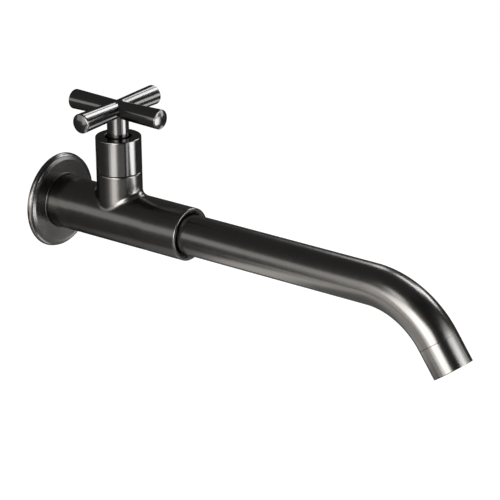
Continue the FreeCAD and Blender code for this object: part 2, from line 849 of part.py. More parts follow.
def make_spindle():
    """The moving disc, and the stem with the driver below, seal grooves, and splines on top."""
    disc = new_tower_piece("moving_disc")
    dog_end = turning_radius - dim.dog_rim
    turn(disc, "moving_disc_turned", UPRIGHT,
         rectangle(as_length(0), turning_radius, moving_floor, driver_foot))
    cut_openings(disc, "disc_opening", driver_foot, dim.disc_thickness)
    room = dim.dog_clearance
    slot = add_sketch(disc, "dog_slot", "XY_Plane", driver_foot)
    draw(slot, rectangle(dim.dog_start - room, dog_end + room, -(dim.dog_width * HALF + room),
                         dim.dog_width * HALF + room))
    cut = pocket(disc, "dog_slot", slot, dim.dog_height + room)
    repeat_round(disc, "dog_slots", cut, as_length(2))

    stem = new_tower_piece("spindle")
    stem_seal_floor = dim.stem_radius - dim.stem_seal_depth
    seal_ends = []
    for low in (stem_seal_low, stem_seal_high):
        high = low + dim.stem_seal_width + dim.seal_side_room
        seal_ends += [(dim.stem_radius, low), (stem_seal_floor, low), (stem_seal_floor, high),
                      (dim.stem_radius, high)]
    clip_floor = spline_radius - dim.circlip_groove_depth
    clip_low = spline_foot + dim.stop_ring_thickness
    clip_high = clip_low + dim.circlip_thickness + dim.running_clearance
    bevel = dim.spline_bevel
    turn(stem, "stem_turned", UPRIGHT, [
        (0, driver_foot),
        (turning_radius, driver_foot),
        (turning_radius, driver_top),
        (dim.stem_radius, driver_top),
    ] + seal_ends + [
        (dim.stem_radius, spline_foot),
        (spline_radius, spline_foot),
        (spline_radius, clip_low),
        (clip_floor, clip_low),
        (clip_floor, clip_high),
        (spline_radius, clip_high),
        (spline_radius, spline_top - bevel),
        (spline_radius - bevel, spline_top),
        (0, spline_top),
    ])
    cut_openings(stem, "driver_opening", driver_opening_top, dim.driver_opening_height)
    dog = add_sketch(stem, "dog", "XY_Plane", driver_foot)
    draw(dog, rectangle(dim.dog_start, dog_end, -(dim.dog_width * HALF), dim.dog_width * HALF))
    tongue = pad(stem, "dog", dog, dim.dog_height, True)
    repeat_round(stem, "dogs", tongue, as_length(2))
    notch = add_sketch(stem, "spline_notch", "XY_Plane", spline_top)
    notch_mouth = spline_radius + dim.spline_depth * HALF
    half_notch = dim.spline_depth * dim.spline_flare
    draw(notch, [
        (spline_radius - dim.spline_depth, 0),
        (notch_mouth, -half_notch),
        (notch_mouth, half_notch),
    ])
    cut = pocket(stem, "spline_notch", notch, spline_top - spline_foot)
    repeat_round(stem, "splines", cut, dim.spline_teeth)

    plain_ring("spindle_washer", UPRIGHT, dim.stem_radius + dim.running_clearance, turning_radius,
               spindle_washer_low, skirt_bore_top - dim.running_clearance, True)
    seals = (("spindle_o_ring_lower", stem_seal_low), ("spindle_o_ring_upper", stem_seal_high))
    for label, low in seals:
        ring = new_tower_piece(label)
        start = low + dim.seal_side_room * HALF
        outer = dim.stem_radius + dim.running_clearance - dim.seal_clearance
        turn(ring, label + "_turned", UPRIGHT,
             squeezed(stem_seal_floor, outer, start, start + dim.stem_seal_width))

    stop = new_tower_piece("stop_ring")
    shut = -(dim.handle_turn * HALF)
    shut_turn = FreeCAD.Rotation(FreeCAD.Vector(0, 0, 1), shut.value)
    stop.Placement = FreeCAD.Placement(FreeCAD.Vector(), shut_turn)
    stop.setExpression("Placement.Base.y", (-dim.tower_reach).formula)
    stop.setExpression("Placement.Rotation.Angle", shut.formula)
    turn(stop, "stop_ring_turned", UPRIGHT,
         rectangle(spline_room, stop_ring_radius, spline_foot, clip_low))
    lug = add_sketch(stop, "lug", "XY_Plane", spline_foot)
    lug_radius = dim.shell_neck_radius - dim.shell_neck_wall - dim.stop_clearance
    draw(lug, sector(spline_room + dim.running_clearance, lug_radius, dim.stop_lug_half_angle))
    pad(stop, "lug", lug, dim.stop_ring_thickness)

    clip = new_tower_piece("spindle_circlip")
    clip_start = clip_low + dim.running_clearance * HALF
    turn(clip, "circlip_turned", UPRIGHT,
         rectangle(clip_floor + dim.running_clearance, stop_ring_radius - dim.fitting_clearance, clip_start,
                   clip_start + dim.circlip_thickness), None, 360 - dim.circlip_opening)


def make_handle():
    """The cross with its neck, the splined bush inside it and the grub screw behind it."""
    cross = new_tower_piece("cross_handle")
    tip = dim.arm_length
    level = hub_height
    crown = dim.arm_end_crown
    end_radius = dim.arm_tip_radius - dim.arm_end_bevel
    shoulder = tip - crown
    crown_radius = (end_radius * end_radius + crown * crown) / (2 * crown)
    arm = turn(cross, "arm", UPRIGHT, [
        (0, level),
        (tip, level, crown_radius),
        (shoulder, level + end_radius),
        (shoulder - dim.arm_end_bevel, level + dim.arm_tip_radius),
        (0, level + dim.arm_root_radius),
    ], ((0, level), (tip, level)))
    repeat_round(cross, "arms", arm, dim.arm_count)
    turn(cross, "neck", UPRIGHT, [
        (0, neck_foot),
        (neck_radius - dim.neck_bevel, neck_foot),
        (neck_radius, neck_foot + dim.neck_bevel),
        (neck_radius, level - dim.neck_root),
        (0, level - dim.neck_root),
    ])
    bush_bore = bush_radius + dim.running_clearance
    bush_foot = neck_foot + dim.bush_sink
    bush_top = spline_top + dim.bush_end_room
    bore_top = bush_top + dim.fitting_clearance
    bore(cross, "bush_bore", UPRIGHT, rectangle(as_length(0), bush_bore, neck_foot, bore_top))
    screw_level = handle_screw_height
    screw_hole = dim.handle_screw_radius + dim.thread_clearance
    hole_start = spline_radius - dim.spline_depth

    def screw_bore(body):
        bore(body, body.Label + "_screw_hole", LYING,
             rectangle(hole_start, neck_radius, screw_level, screw_level + screw_hole),
             ((hole_start, screw_level), (neck_radius, screw_level)))

    screw_bore(cross)
    bush = new_tower_piece("handle_bush")
    turn(bush, "bush_turned", UPRIGHT, rectangle(spline_room, bush_radius, bush_foot, bush_top))
    screw_bore(bush)

    screw = new_tower_piece("handle_screw")
    start = spline_room
    end = neck_radius - dim.neck_bevel * HALF
    turn(screw, "handle_screw_turned", LYING,
         rectangle(start, end, screw_level, screw_level + dim.handle_screw_radius),
         ((start, screw_level), (end, screw_level)))
    key = add_sketch(screw, "handle_screw_key", "XZ_Plane", -end)
    draw(key, [(across, screw_level + up) for across, up in hexagon(dim.handle_screw_key)])
    pocket(screw, "handle_screw_key", key, dim.screw_key_depth, True)


def make_spout():
    """The tail with its grooves, seals and bearing rings, the bent tube and the locking screw."""
    tail = new_piece("spout_tail")
    ring_floor = tail_radius - dim.slip_ring_thickness
    seal_floor = tail_radius - dim.spout_seal_section

    def groove(start, width, floor):
        end = start - width
        return [(start, tail_radius), (start, floor), (end, floor), (end, tail_radius)]

    tube_floor = tube_inner - dim.solder_gap
    insert_end = tube_rear - dim.tail_insert
    turn(tail, "tail_turned", LYING, [
        (tail_rear, tail_bore_radius),
        (tail_rear, tail_radius - dim.tail_bevel),
        (tail_rear - dim.tail_bevel, tail_radius),
    ] + groove(slip_rear_start, ring_room, ring_floor)
      + groove(seal_rear_start, seal_room, seal_floor)
      + groove(seal_front_start, seal_room, seal_floor)
      + groove(slip_front_start, ring_room, ring_floor) + [
        (tube_rear, tail_radius),
        (tube_rear, tube_floor),
        (insert_end, tube_floor),
        (insert_end, tail_bore_radius),
    ])
    half_width = dim.lock_groove_width * HALF
    bore(tail, "lock_groove", LYING, [
        (lock_station + half_width, -lock_floor),
        (lock_station + half_width, -socket_radius),
        (lock_station - half_width, -socket_radius),
        (lock_station - half_width, -lock_floor),
    ], None, 2 * (dim.spout_turn + dim.spout_turn_margin), True)

    outer = socket_radius - dim.seal_clearance
    seals = (("spout_o_ring_rear", seal_rear_start), ("spout_o_ring_front", seal_front_start))
    for label, place in seals:
        ring = new_piece(label)
        start = place - dim.seal_side_room * HALF
        turn(ring, label + "_turned", LYING,
             squeezed(start - dim.spout_seal_width, start, seal_floor + dim.seal_clearance, outer))
    slip_rings = (("spout_slip_ring_rear", slip_rear_start), ("spout_slip_ring_front", slip_front_start))
    for label, place in slip_rings:
        ring = new_piece(label)
        start = place - dim.running_clearance * HALF
        turn(ring, label + "_turned", LYING,
             rectangle(start - dim.slip_ring_width, start, ring_floor + dim.seal_clearance, outer),
             None, 360 - dim.slip_ring_slit)

    screw = new_piece("spout_lock_screw")
    screw.setExpression("Placement.Base.y", lock_station.formula)
    head = -(barrel_radius - dim.lock_screw_sink)
    neck = -socket_radius
    tip = -(lock_floor + dim.lock_tip_gap)
    tip_radius = dim.lock_groove_width * HALF - dim.fitting_clearance
    turn(screw, "lock_screw_turned", UPRIGHT, [
        (0, head),
        (dim.lock_screw_radius, head),
        (dim.lock_screw_radius, neck),
        (tip_radius, neck),
        (tip_radius, tip),
        (0, tip),
    ])
    key = add_sketch(screw, "lock_screw_key", "XY_Plane", head)
    draw(key, hexagon(dim.lock_screw_key))
    pocket(screw, "lock_screw_key", key, dim.screw_key_depth, True)

    tube = new_piece("spout_tube")
    tube.setExpression("Placement.Base.y", tube_rear.formula)
    straight = tube_rear - bend_start
    run = straight + dim.bend_radius * sine(dim.bend_angle)
    drop = dim.bend_radius * (1 - cosine(dim.bend_angle))
    path = add_sketch(tube, "tube_path", "YZ_Plane")
    draw(path, [
        (0, 0),
        (-straight, 0, dim.bend_radius),
        (-run, -drop),
        (-(run + dim.tube_end_length * cosine(dim.bend_angle)),
         -(drop + dim.tube_end_length * sine(dim.bend_angle))),
    ], False)
    section = add_sketch(tube, "tube_section", "XZ_Plane")
    draw_circle(section, 0, 0, spout_radius)
    draw_circle(section, 0, 0, tube_inner)
    pipe = tube.newObject("PartDesign::AdditivePipe", "bent_tube")
    pipe.Profile = section
    pipe.Spine = path


def make_outlet():
    """The flush end piece and the aerator that screws into it."""
    housing = new_outlet_piece("outlet_housing")
    end = dim.housing_length
    spigot = tube_inner - dim.spigot_clearance
    thread = aerator_radius + dim.thread_clearance
    bevel = dim.housing_bevel
    shell_end = end - dim.aerator_sink
    shell_start = shell_end - dim.aerator_length
    seat = shell_start - dim.aerator_washer_thickness
    turn(housing, "housing_turned", UPRIGHT, [
        (housing_bore_radius, -dim.housing_spigot),
        (spigot - bevel, -dim.housing_spigot),
        (spigot, bevel - dim.housing_spigot),
        (spigot, 0),
        (spout_radius - dim.seam_bevel * HALF, 0),
        (spout_radius, dim.seam_bevel * HALF),
        (spout_radius, end - bevel),
        (spout_radius - bevel, end),
        (thread + bevel, end),
        (thread, end - bevel),
        (thread, seat),
        (housing_bore_radius, seat),
    ])
    washer = new_outlet_piece("aerator_washer")
    turn(washer, "aerator_washer_turned", UPRIGHT,
         rectangle(housing_bore_radius - dim.aerator_washer_ledge,
                   aerator_radius - dim.fitting_clearance, seat, shell_start))
    shell = new_outlet_piece("aerator_shell")
    shell_inner = aerator_radius - dim.aerator_wall
    turn(shell, "aerator_shell_turned", UPRIGHT, [
        (shell_inner, shell_start),
        (aerator_radius, shell_start),
        (aerator_radius, shell_end - bevel),
        (aerator_radius - bevel, shell_end),
        (shell_inner, shell_end),
    ])
    notch = add_sketch(shell, "key_notch", "XY_Plane", shell_end)
    half_notch = dim.key_notch_width * HALF
    draw(notch, rectangle(shell_inner - bevel, aerator_radius + bevel, -half_notch, half_notch))
    cut = pocket(shell, "key_notch", notch, dim.key_notch_depth)
    repeat_round(shell, "key_notches", cut, dim.key_notches)
    insert = new_outlet_piece("aerator_insert")
    face = shell_end - dim.jet_sink
    jet_circle = shell_inner - dim.jet_rim
    turn(insert, "insert_turned", UPRIGHT,
         rectangle(as_length(0), shell_inner - dim.running_clearance, shell_start, face))
    middle = add_sketch(insert, "middle_jet", "XY_Plane", face)
    draw(middle, hexagon(dim.jet_cell_width))
    pocket(insert, "middle_jet", middle, dim.jet_cell_depth)
    rings = (("inner", jet_circle * HALF, dim.inner_holes), ("outer", jet_circle, dim.outer_holes))
    for name, circle, count in rings:
        cell = add_sketch(insert, name + "_jet", "XY_Plane", face)
        draw(cell, [(circle + across, up) for across, up in hexagon(dim.jet_cell_width)])
        cut = pocket(insert, name + "_jet", cell, dim.jet_cell_depth)
        repeat_round(insert, name + "_jets", cut, count)


def check_document():
    """Stops where a feature failed, a cut missed its solid or a piece isn't one valid solid."""
    for item in doc.Objects:
        if "Invalid" in item.State or "Error" in item.State:
            raise RuntimeError("failed: " + item.Name + " " + str(item.State))
        if item.TypeId in ("PartDesign::Pocket", "PartDesign::Groove"):
            if item.Shape.Volume >= item.BaseFeature.Shape.Volume - 0.0001:
                raise RuntimeError("cuts nothing: " + item.Name)
    for body in pieces:
        if body.Shape.isNull() or not body.Shape.isValid() or len(body.Shape.Solids) != 1:
            raise RuntimeError("bad solid: " + body.Label)


make_valve_body()
make_inlet()
make_flange()
make_bonnet_sleeve()
make_cartridge()
make_spindle()
make_handle()
make_spout()
make_outlet()
doc.recompute()
check_document()

os.makedirs("parts", exist_ok=True)
for body in pieces:
    body.Shape.exportStep(os.path.join("parts", body.Label + ".step"))
    print(body.Label, round(body.Shape.Volume, 2))
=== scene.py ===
# %% [markdown]
# # A wall tap in brushed gunmetal
# The tap's pieces arrive as a fixed frame of solids, at their real size and place. This lesson
# dresses that frame: it makes the outer shells again as smooth numpy surfaces with soft edges and
# brush lines, gives every inner piece a finish, and lights the whole like a studio photograph.

# %% Load the frame
import math
import bmesh
import bpy
import numpy as np
from mathutils import Matrix, Vector


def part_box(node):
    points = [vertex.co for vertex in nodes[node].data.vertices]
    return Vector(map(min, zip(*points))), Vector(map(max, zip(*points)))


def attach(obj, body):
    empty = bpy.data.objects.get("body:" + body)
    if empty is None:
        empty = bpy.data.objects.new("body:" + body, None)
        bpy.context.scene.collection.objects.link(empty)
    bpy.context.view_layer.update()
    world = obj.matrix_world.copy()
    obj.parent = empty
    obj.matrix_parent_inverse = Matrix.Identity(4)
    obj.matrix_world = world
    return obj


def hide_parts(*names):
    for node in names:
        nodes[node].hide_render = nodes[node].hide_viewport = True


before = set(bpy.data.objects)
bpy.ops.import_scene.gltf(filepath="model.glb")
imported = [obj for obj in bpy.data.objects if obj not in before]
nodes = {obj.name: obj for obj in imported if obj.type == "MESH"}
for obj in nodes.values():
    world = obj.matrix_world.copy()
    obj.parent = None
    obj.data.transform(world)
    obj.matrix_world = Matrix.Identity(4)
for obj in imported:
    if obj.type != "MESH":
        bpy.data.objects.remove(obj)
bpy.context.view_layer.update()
scene = bpy.context.scene
scene.view_settings.view_transform = "Standard"
MM = 0.001

# %% [markdown]
# ## Sizes
# Every size could be typed in, but then the shells would leave the solids as soon as one of them
# changed. So the sizes that a box shows are read from the frame. The others, such as the bend's
# radius or an edge's rounding, are real sizes in millimetres, named where they are first used.

# %% Sizes from the frame
barrel_low, barrel_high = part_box("valve_body")
barrel_radius = barrel_high.x / MM
barrel_rear = barrel_high.y / MM
mouth = barrel_low.y / MM
spigot_top = barrel_high.z / MM
sleeve_low, sleeve_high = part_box("bonnet_sleeve")
tower_radius = sleeve_high.x / MM
tower_place = (sleeve_low.y + sleeve_high.y) / 2 / MM
boss_top = sleeve_low.z / MM
bonnet_top = sleeve_high.z / MM
flange_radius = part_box("wall_flange")[1].x / MM
cross_low, cross_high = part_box("cross_handle")
arm_length = cross_high.x / MM
neck_foot = cross_low.z / MM
tube_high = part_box("spout_tube")[1]
spout_radius = tube_high.x / MM
tube_rear = tube_high.y / MM
print("radii in mm: barrel", round(barrel_radius, 2), "tower", round(tower_radius, 2))
print("radii in mm: flange", round(flange_radius, 2), "spout", round(spout_radius, 2))

# %% [markdown]
# ## The camera
# A camera can be moved by eye until the picture looks alike, but a long lens hides errors in its
# angles. This viewpoint was found by fitting the tap's own edges to the photo: from the left of
# the spout and a little above. Its angles are kept as plain numbers, and the shift stays zero.

# %% Camera
VIEW_AZIMUTH = math.radians(-51.62)
VIEW_ELEVATION = math.radians(21.39)
VIEW_ROLL = math.radians(-0.90)
VIEW_DISTANCE = 1.9128
FOCAL_PIXELS = 3094.4
FRAME_PIXELS = 500
SENSOR_WIDTH = 36.0
CLIP_END = 100.0
VIEW_TARGET = Vector((0.0521, -0.1100, -0.0256))


def direction(azimuth, elevation):
    """The unit vector towards an azimuth, counted from -Y towards +X, and an elevation."""
    level = math.cos(elevation)
    return Vector((math.sin(azimuth) * level, -math.cos(azimuth) * level, math.sin(elevation)))


def add_camera():
    """A camera at the target plus the distance along its back direction.

    Its sideways and upward directions are turned about the view by the roll. The lens is the
    sensor's width times the focal length over the frame's width, both in pixels.
    """
    back = direction(VIEW_AZIMUTH, VIEW_ELEVATION)
    right = Vector((math.cos(VIEW_AZIMUTH), math.sin(VIEW_AZIMUTH), 0))
    up = back.cross(right)
    rolled_right = math.cos(VIEW_ROLL) * right + math.sin(VIEW_ROLL) * up
    rolled_up = math.cos(VIEW_ROLL) * up - math.sin(VIEW_ROLL) * right
    camera = bpy.data.objects.new("camera", bpy.data.cameras.new("camera"))
    camera.data.sensor_width = SENSOR_WIDTH
    camera.data.lens = SENSOR_WIDTH * FOCAL_PIXELS / FRAME_PIXELS
    camera.data.clip_end = CLIP_END
    camera.matrix_world = Matrix((rolled_right, rolled_up, back)).transposed().to_4x4()
    camera.location = VIEW_TARGET + VIEW_DISTANCE * back
    scene.collection.objects.link(camera)
    scene.camera = camera
    return camera


camera = add_camera()
print("camera at", [round(x, 3) for x in camera.location], "lens", round(camera.data.lens, 1))

# %% [markdown]
# ## Shader maths as Python
# A material is a network of nodes. Wiring it by hand hides the idea, so one small class wraps a
# socket: adding or multiplying two wires makes the Math node and links it.

# %% The wire class
class Wire:
    """An output socket of a node tree that can be used in sums and products."""

    def __init__(self, tree, socket=None):
        """Remembers the tree, and the socket whose value the wire carries."""
        self.tree = tree
        self.socket = socket

    def node(self, kind, settings=None, inputs=None, output=0):
        """Adds any node: its settings first, then the values or links of its sockets."""
        made = self.tree.nodes.new(kind)
        for name, value in (settings or {}).items():
            setattr(made, name, value)
        for name, value in (inputs or {}).items():
            plug(made, name, value)
        return Wire(self.tree, made.outputs[output])

    def math(self, operation, *values):
        """One Math node, whose inputs are the values in their order."""
        return self.node("ShaderNodeMath", {"operation": operation}, dict(enumerate(values)))

    # Each sign makes the Math node of its name, also where a number stands on the left.
    def __add__(self, other):
        return self.math("ADD", self, other)

    def __radd__(self, other):
        return self.math("ADD", other, self)

    def __sub__(self, other):
        return self.math("SUBTRACT", self, other)

    def __rsub__(self, other):
        return self.math("SUBTRACT", other, self)

    def __mul__(self, other):
        return self.math("MULTIPLY", self, other)

    def __rmul__(self, other):
        return self.math("MULTIPLY", other, self)

    def clamp(self, low=0.0, high=1.0):
        """The smaller of the high limit and the larger of the low limit and the value."""
        return self.math("MINIMUM", self.math("MAXIMUM", self, low), high)


def plug(node, name, value):
    """Sets a socket to a constant, or links a wire to it."""
    if isinstance(value, Wire):
        value.tree.links.new(value.socket, node.inputs[name])
    else:
        node.inputs[name].default_value = value


practice = bpy.data.node_groups.new("practice", "ShaderNodeTree")
(1 - 2 * Wire(practice).node("ShaderNodeValue")).clamp()
print("1 - 2 * value, clamped, makes", len(practice.nodes), "nodes")
bpy.data.node_groups.remove(practice)

# %% New materials and mixed colours
def new_material(name):
    """A material with its Principled shader, and a first wire to grow the rest from."""
    material = bpy.data.materials.new(name)
    material.use_nodes = True
    tree = material.node_tree
    return material, tree.nodes["Principled BSDF"], Wire(tree)


def tint(wire, low, high, share):
    """A colour between two, through a Mix node, where share says how much of the second."""
    settings = {"data_type": "RGBA"}
    inputs = {"Factor": share, 6: (*low, 1), 7: (*high, 1)}
    return wire.node("ShaderNodeMix", settings, inputs, 2)


def bump(wire, height, distance):
    """The surface's normal, tilted by the slope of the height, whose 1 stands for a distance."""
    inputs = {"Height": height, "Strength": 1.0, "Distance": distance * MM}
    return wire.node("ShaderNodeBump", {}, inputs)


print("materials that came with the frame", len(bpy.data.materials))

# %% [markdown]
# ## Floor and backdrop
# The photo has a pure white ground. More light would whiten the floor, but it would burn out the
# tap as well. So a pale floor is lit by the lamps like anything else, and a glow that only the
# camera, the metal and clear things see lifts it to white. The shadow still darkens it.

# %% Floor
FLOOR_LEVEL = -0.42
FLOOR_REACH = 30.0
FLOOR_PALE = 0.30
FLOOR_GLOW = 0.93
BLACK, WHITE = (0, 0, 0), (1, 1, 1)


def seen_rays(wire):
    """One for rays from the camera, from metal and through clear things, and zero for the rest.

    It is the sum of the three kinds' flags, held at one.
    """
    path = wire.tree.nodes.new("ShaderNodeLightPath")
    kinds = ("Is Camera Ray", "Is Glossy Ray", "Is Transmission Ray")
    camera_ray, glossy_ray, clear_ray = [Wire(wire.tree, path.outputs[kind]) for kind in kinds]
    return (camera_ray + glossy_ray + clear_ray).clamp()


def add_floor():
    """One square whose corners lie at the floor's reach on both axes."""
    edge = FLOOR_REACH
    mesh = bpy.data.meshes.new("floor")
    corners = [(-edge, -edge, FLOOR_LEVEL), (edge, -edge, FLOOR_LEVEL),
               (edge, edge, FLOOR_LEVEL), (-edge, edge, FLOOR_LEVEL)]
    mesh.from_pydata(corners, [], [(0, 1, 2, 3)])
    floor = bpy.data.objects.new("floor", mesh)
    scene.collection.objects.link(floor)
    material, shader, wire = new_material("pale_floor")
    plug(shader, "Base Color", (FLOOR_PALE, FLOOR_PALE, FLOOR_PALE, 1))
    plug(shader, "Roughness", 1.0)
    plug(shader, "Specular IOR Level", 0.0)
    plug(shader, "Emission Color", tint(wire, BLACK, WHITE, seen_rays(wire)))
    plug(shader, "Emission Strength", FLOOR_GLOW)
    mesh.materials.append(material)


add_floor()
print("floor at", FLOOR_LEVEL)

# %% [markdown]
# ## World
# Above the horizon the world is the backdrop. A curved paper sweep could stand there, but it
# would shade the lamps. The world does the floor's trick with less: it is white for the rays that
# see it, and a weak even fill for the light that it gives.

# %% World
WORLD_FILL = 0.25


def set_world():
    """White where it is seen, and a weak even fill for everything else."""
    world = bpy.data.worlds.new("studio")
    scene.world = world
    world.use_nodes = True
    wire = Wire(world.node_tree)
    background = world.node_tree.nodes["Background"]
    fill = (WORLD_FILL, WORLD_FILL, WORLD_FILL)
    plug(background, "Color", tint(wire, fill, WHITE, seen_rays(wire)))
    plug(background, "Strength", 1.0)


set_world()
print("world fill", WORLD_FILL)

# %% [markdown]
# ## Lamps
# Polished metal shows its surroundings, so its look is made by what stands round it. One large
# lamp would be simpler, but gives a single streak. Here each bright streak of the photo is a soft
# box of its own, placed by the azimuths and elevations that it fills, seen from the middle of
# the tap: a broad key on the left, an upright strip in front on the right with a wide foot and a
# bright head, and a group high on the right. A few weak boxes fill the gaps between them.

# %% One lamp
WARM, PALE, COOL = (1.0, 0.975, 0.93), (1.0, 0.99, 0.975), (0.975, 0.985, 1.0)


def add_lamp(name, place, towards, width, height, brightness, hue):
    """A rectangular lamp that faces the tap. The brightness is its radiance: 1 looks white.

    A flat lamp's power is pi times its area times its radiance.
    """
    light = bpy.data.lights.new(name, "AREA")
    light.shape = "RECTANGLE"
    light.size = width
    light.size_y = height
    light.energy = math.pi * width * height * brightness
    light.color = hue
    lamp = bpy.data.objects.new(name, light)
    lamp.location = place
    lamp.rotation_euler = towards.to_track_quat("Z", "Y").to_euler()
    lamp.visible_camera = False
    scene.collection.objects.link(lamp)


print("hues of the lamps: warm", WARM, "pale", PALE, "cool", COOL)

# %% A soft box
SET_CENTRE = Vector((0.0, -0.15, 0.0))
LAMP_DISTANCE = 1.0
ABOVE_FLOOR = 0.02
LEAST_SINE = 1e-6


def reach_down(distance, elevation):
    """The distance, or less where a point that low would lie under the floor.

    The most is the floor's depth over the sine of the angle below the level.
    """
    depth = np.maximum(-np.sin(elevation), LEAST_SINE)
    return np.minimum(distance, (-FLOOR_LEVEL - ABOVE_FLOOR) / depth)


def add_soft_box(name, azimuths, elevations, brightness, hue):
    """A lamp that fills a range of azimuths and elevations, seen from the middle of the tap.

    Each side is twice the distance times the tangent of half its range, and the width is also
    times the cosine of the elevation, because azimuths crowd towards the top.
    """
    azimuth, elevation = np.radians(azimuths), np.radians(elevations)
    towards = direction(azimuth.mean(), elevation.mean())
    distance = float(reach_down(LAMP_DISTANCE, elevation.min()))
    width = 2 * distance * math.tan(np.ptp(azimuth) / 2) * math.cos(elevation.mean())
    height = 2 * distance * math.tan(np.ptp(elevation) / 2)
    add_lamp(name, SET_CENTRE + distance * towards, towards, width, height, brightness, hue)


print("soft boxes stand", LAMP_DISTANCE, "m from", [round(x, 2) for x in SET_CENTRE])

# %% Soft boxes
SOFT_BOXES = {  # azimuths, elevations, brightness and hue
    "key_box": ((-106, -70), (-12, 30), 5.0, PALE),
    "key_edge": ((-70, -57), (-6, 22), 7.5, PALE),
    "key_core": ((-86, -70), (-6, 26), 4.0, PALE),
    "key_top": ((-99, -81), (28, 46), 3.2, PALE),
    "key_foot": ((-98, -72), (-34, -12), 2.1, PALE),
    "key_shoulder": ((-120, -106), (-12, 20), 1.6, PALE),
    "left_box": ((-144, -120), (-3, 18), 0.9, PALE),
    "front_box": ((-72, -24), (-34, -15), 0.4, PALE),
    "strip_foot": ((-12, 42), (-30, -2), 2.0, COOL),
    "strip_foot_core": ((5, 35), (-30, -4), 3.6, COOL),
    "strip_box": ((9, 29), (-2, 15), 3.4, COOL),
    "strip_head": ((-5, 29), (15, 26), 8.0, COOL),
    "strip_side": ((29, 46), (9, 23), 3.4, COOL),
    "strip_glow": ((-4, 44), (15, 36), 1.2, COOL),
    "high_box": ((72, 103), (38, 50), 6.5, COOL),
    "high_foot": ((69, 89), (23, 35), 9.0, COOL),
    "high_side": ((112, 125), (26, 44), 5.5, COOL),
    "right_box": ((46, 60), (-6, 14), 2.8, COOL),
}
for name, box in SOFT_BOXES.items():
    add_soft_box(name, *box)
print("soft boxes", len(SOFT_BOXES))

# %% [markdown]
# ## Lit boards
# The spout's underside is brighter and warmer than the barrel's, though both lie side by side. A
# far lamp would light the two alike. Four boards close below and beside the spout, in warm light,
# reach the one and hardly the other.

# %% Lit boards
BELOW, BESIDE = Vector((0, 0, -1)), Vector((-1, 0, 0))


def add_board(name, low, high, towards, brightness, hue):
    """A lit board close to the tap, flat between two corners."""
    low, high = Vector(low), Vector(high)
    width, height = [edge for edge in high - low if edge > 0]
    add_lamp(name, (low + high) / 2, towards, width, height, brightness, hue)


BOARDS = {  # two corners, the way it faces, brightness and hue
    "board_below": ((-0.25, -0.065, -0.20), (0.06, 0.010, -0.20), BELOW, 1.7, WARM),
    "board_below_left": ((-0.42, -0.14, -0.20), (-0.25, 0.08, -0.20), BELOW, 1.5, WARM),
    "board_beside": ((-0.40, -0.30, -0.16), (-0.40, 0.02, -0.08), BESIDE, 1.5, WARM),
    "board_beside_front": ((-0.40, -0.30, -0.08), (-0.40, -0.14, 0.08), BESIDE, 1.9, WARM),
}
for name, board in BOARDS.items():
    add_board(name, *board)
print("lamps", len(bpy.data.lights))

# %% [markdown]
# ## Lamps for the metal alone
# The tap's dark metal needs strong mirrored light, but the white plastic at the outlet would burn
# out under all of it. Dimmer lamps would lose the streaks. So the boards, the key's smaller boxes
# and the strip's two brightest ones give no diffuse light, and show in the metal alone.

# %% Lamps that plastic doesn't see
METAL_ONLY = ("key_core", "key_edge", "key_top", "key_foot", "key_shoulder",
              "strip_foot_core", "strip_head",
              "board_below", "board_below_left", "board_beside", "board_beside_front")
for name in METAL_ONLY:
    bpy.data.objects[name].visible_diffuse = False
print("lamps for the metal alone", len(METAL_ONLY))

# %% [markdown]
# ## Dark cards
# A photographer keeps the zones between the streaks dark with black cards, because metal mirrors
# a white room as white. Real cards would also shade the tap and show in the picture. These are
# seen by the metal alone. Each glows a little, as a real card reflects a little, and a few are
# grey or pale, where the photo's metal has a soft grey.

# %% Card finishes
CARD_BLACK = (0.012, 0.012, 0.012, 1)


def card_finish(name, glow):
    """A dull card that glows a little, so that it never mirrors as pure black."""
    material, shader, _ = new_material(name)
    plug(shader, "Base Color", CARD_BLACK)
    plug(shader, "Roughness", 1.0)
    plug(shader, "Specular IOR Level", 0.0)
    plug(shader, "Emission Color", (1, 1, 1, 1))
    plug(shader, "Emission Strength", glow)
    return material


black_card = card_finish("black_card", 0.09)
deep_card = card_finish("deep_card", 0.02)
grey_card = card_finish("grey_card", 0.45)
pale_card = card_finish("pale_card", 2.4)
print("card finishes", [item.name for item in (black_card, deep_card, grey_card, pale_card)])

# %% One card
CARD_DISTANCE = 1.05
CARD_COLUMNS = 49
CARD_ROWS = 41


def add_card(name, azimuths, elevations, material):
    """A card on a sphere round the tap, between two azimuths and elevations.

    Where the sphere would dip under the floor, the card lies flat just above it.
    """
    az = np.radians(np.linspace(*azimuths, CARD_COLUMNS))[None, :]
    el = np.radians(np.linspace(*elevations, CARD_ROWS))[:, None]
    level = np.cos(el)
    points = np.stack([np.sin(az) * level, -np.cos(az) * level, np.sin(el) + 0 * az], -1)
    points = points * reach_down(CARD_DISTANCE, el)[..., None] + np.array(SET_CENTRE)
    mesh = bpy.data.meshes.new(name)
    index = np.arange(CARD_ROWS * CARD_COLUMNS).reshape(CARD_ROWS, CARD_COLUMNS)
    quads = np.stack([index[:-1, :-1], index[1:, :-1], index[1:, 1:], index[:-1, 1:]], -1)
    mesh.from_pydata(points.reshape(-1, 3).tolist(), [], quads.reshape(-1, 4).tolist())
    card = bpy.data.objects.new(name, mesh)
    mesh.materials.append(material)
    scene.collection.objects.link(card)
    card.visible_camera = False
    card.visible_diffuse = False
    card.visible_shadow = False
    card.visible_transmission = False


print("cards stand", CARD_DISTANCE, "m from the same point, just behind the soft boxes")

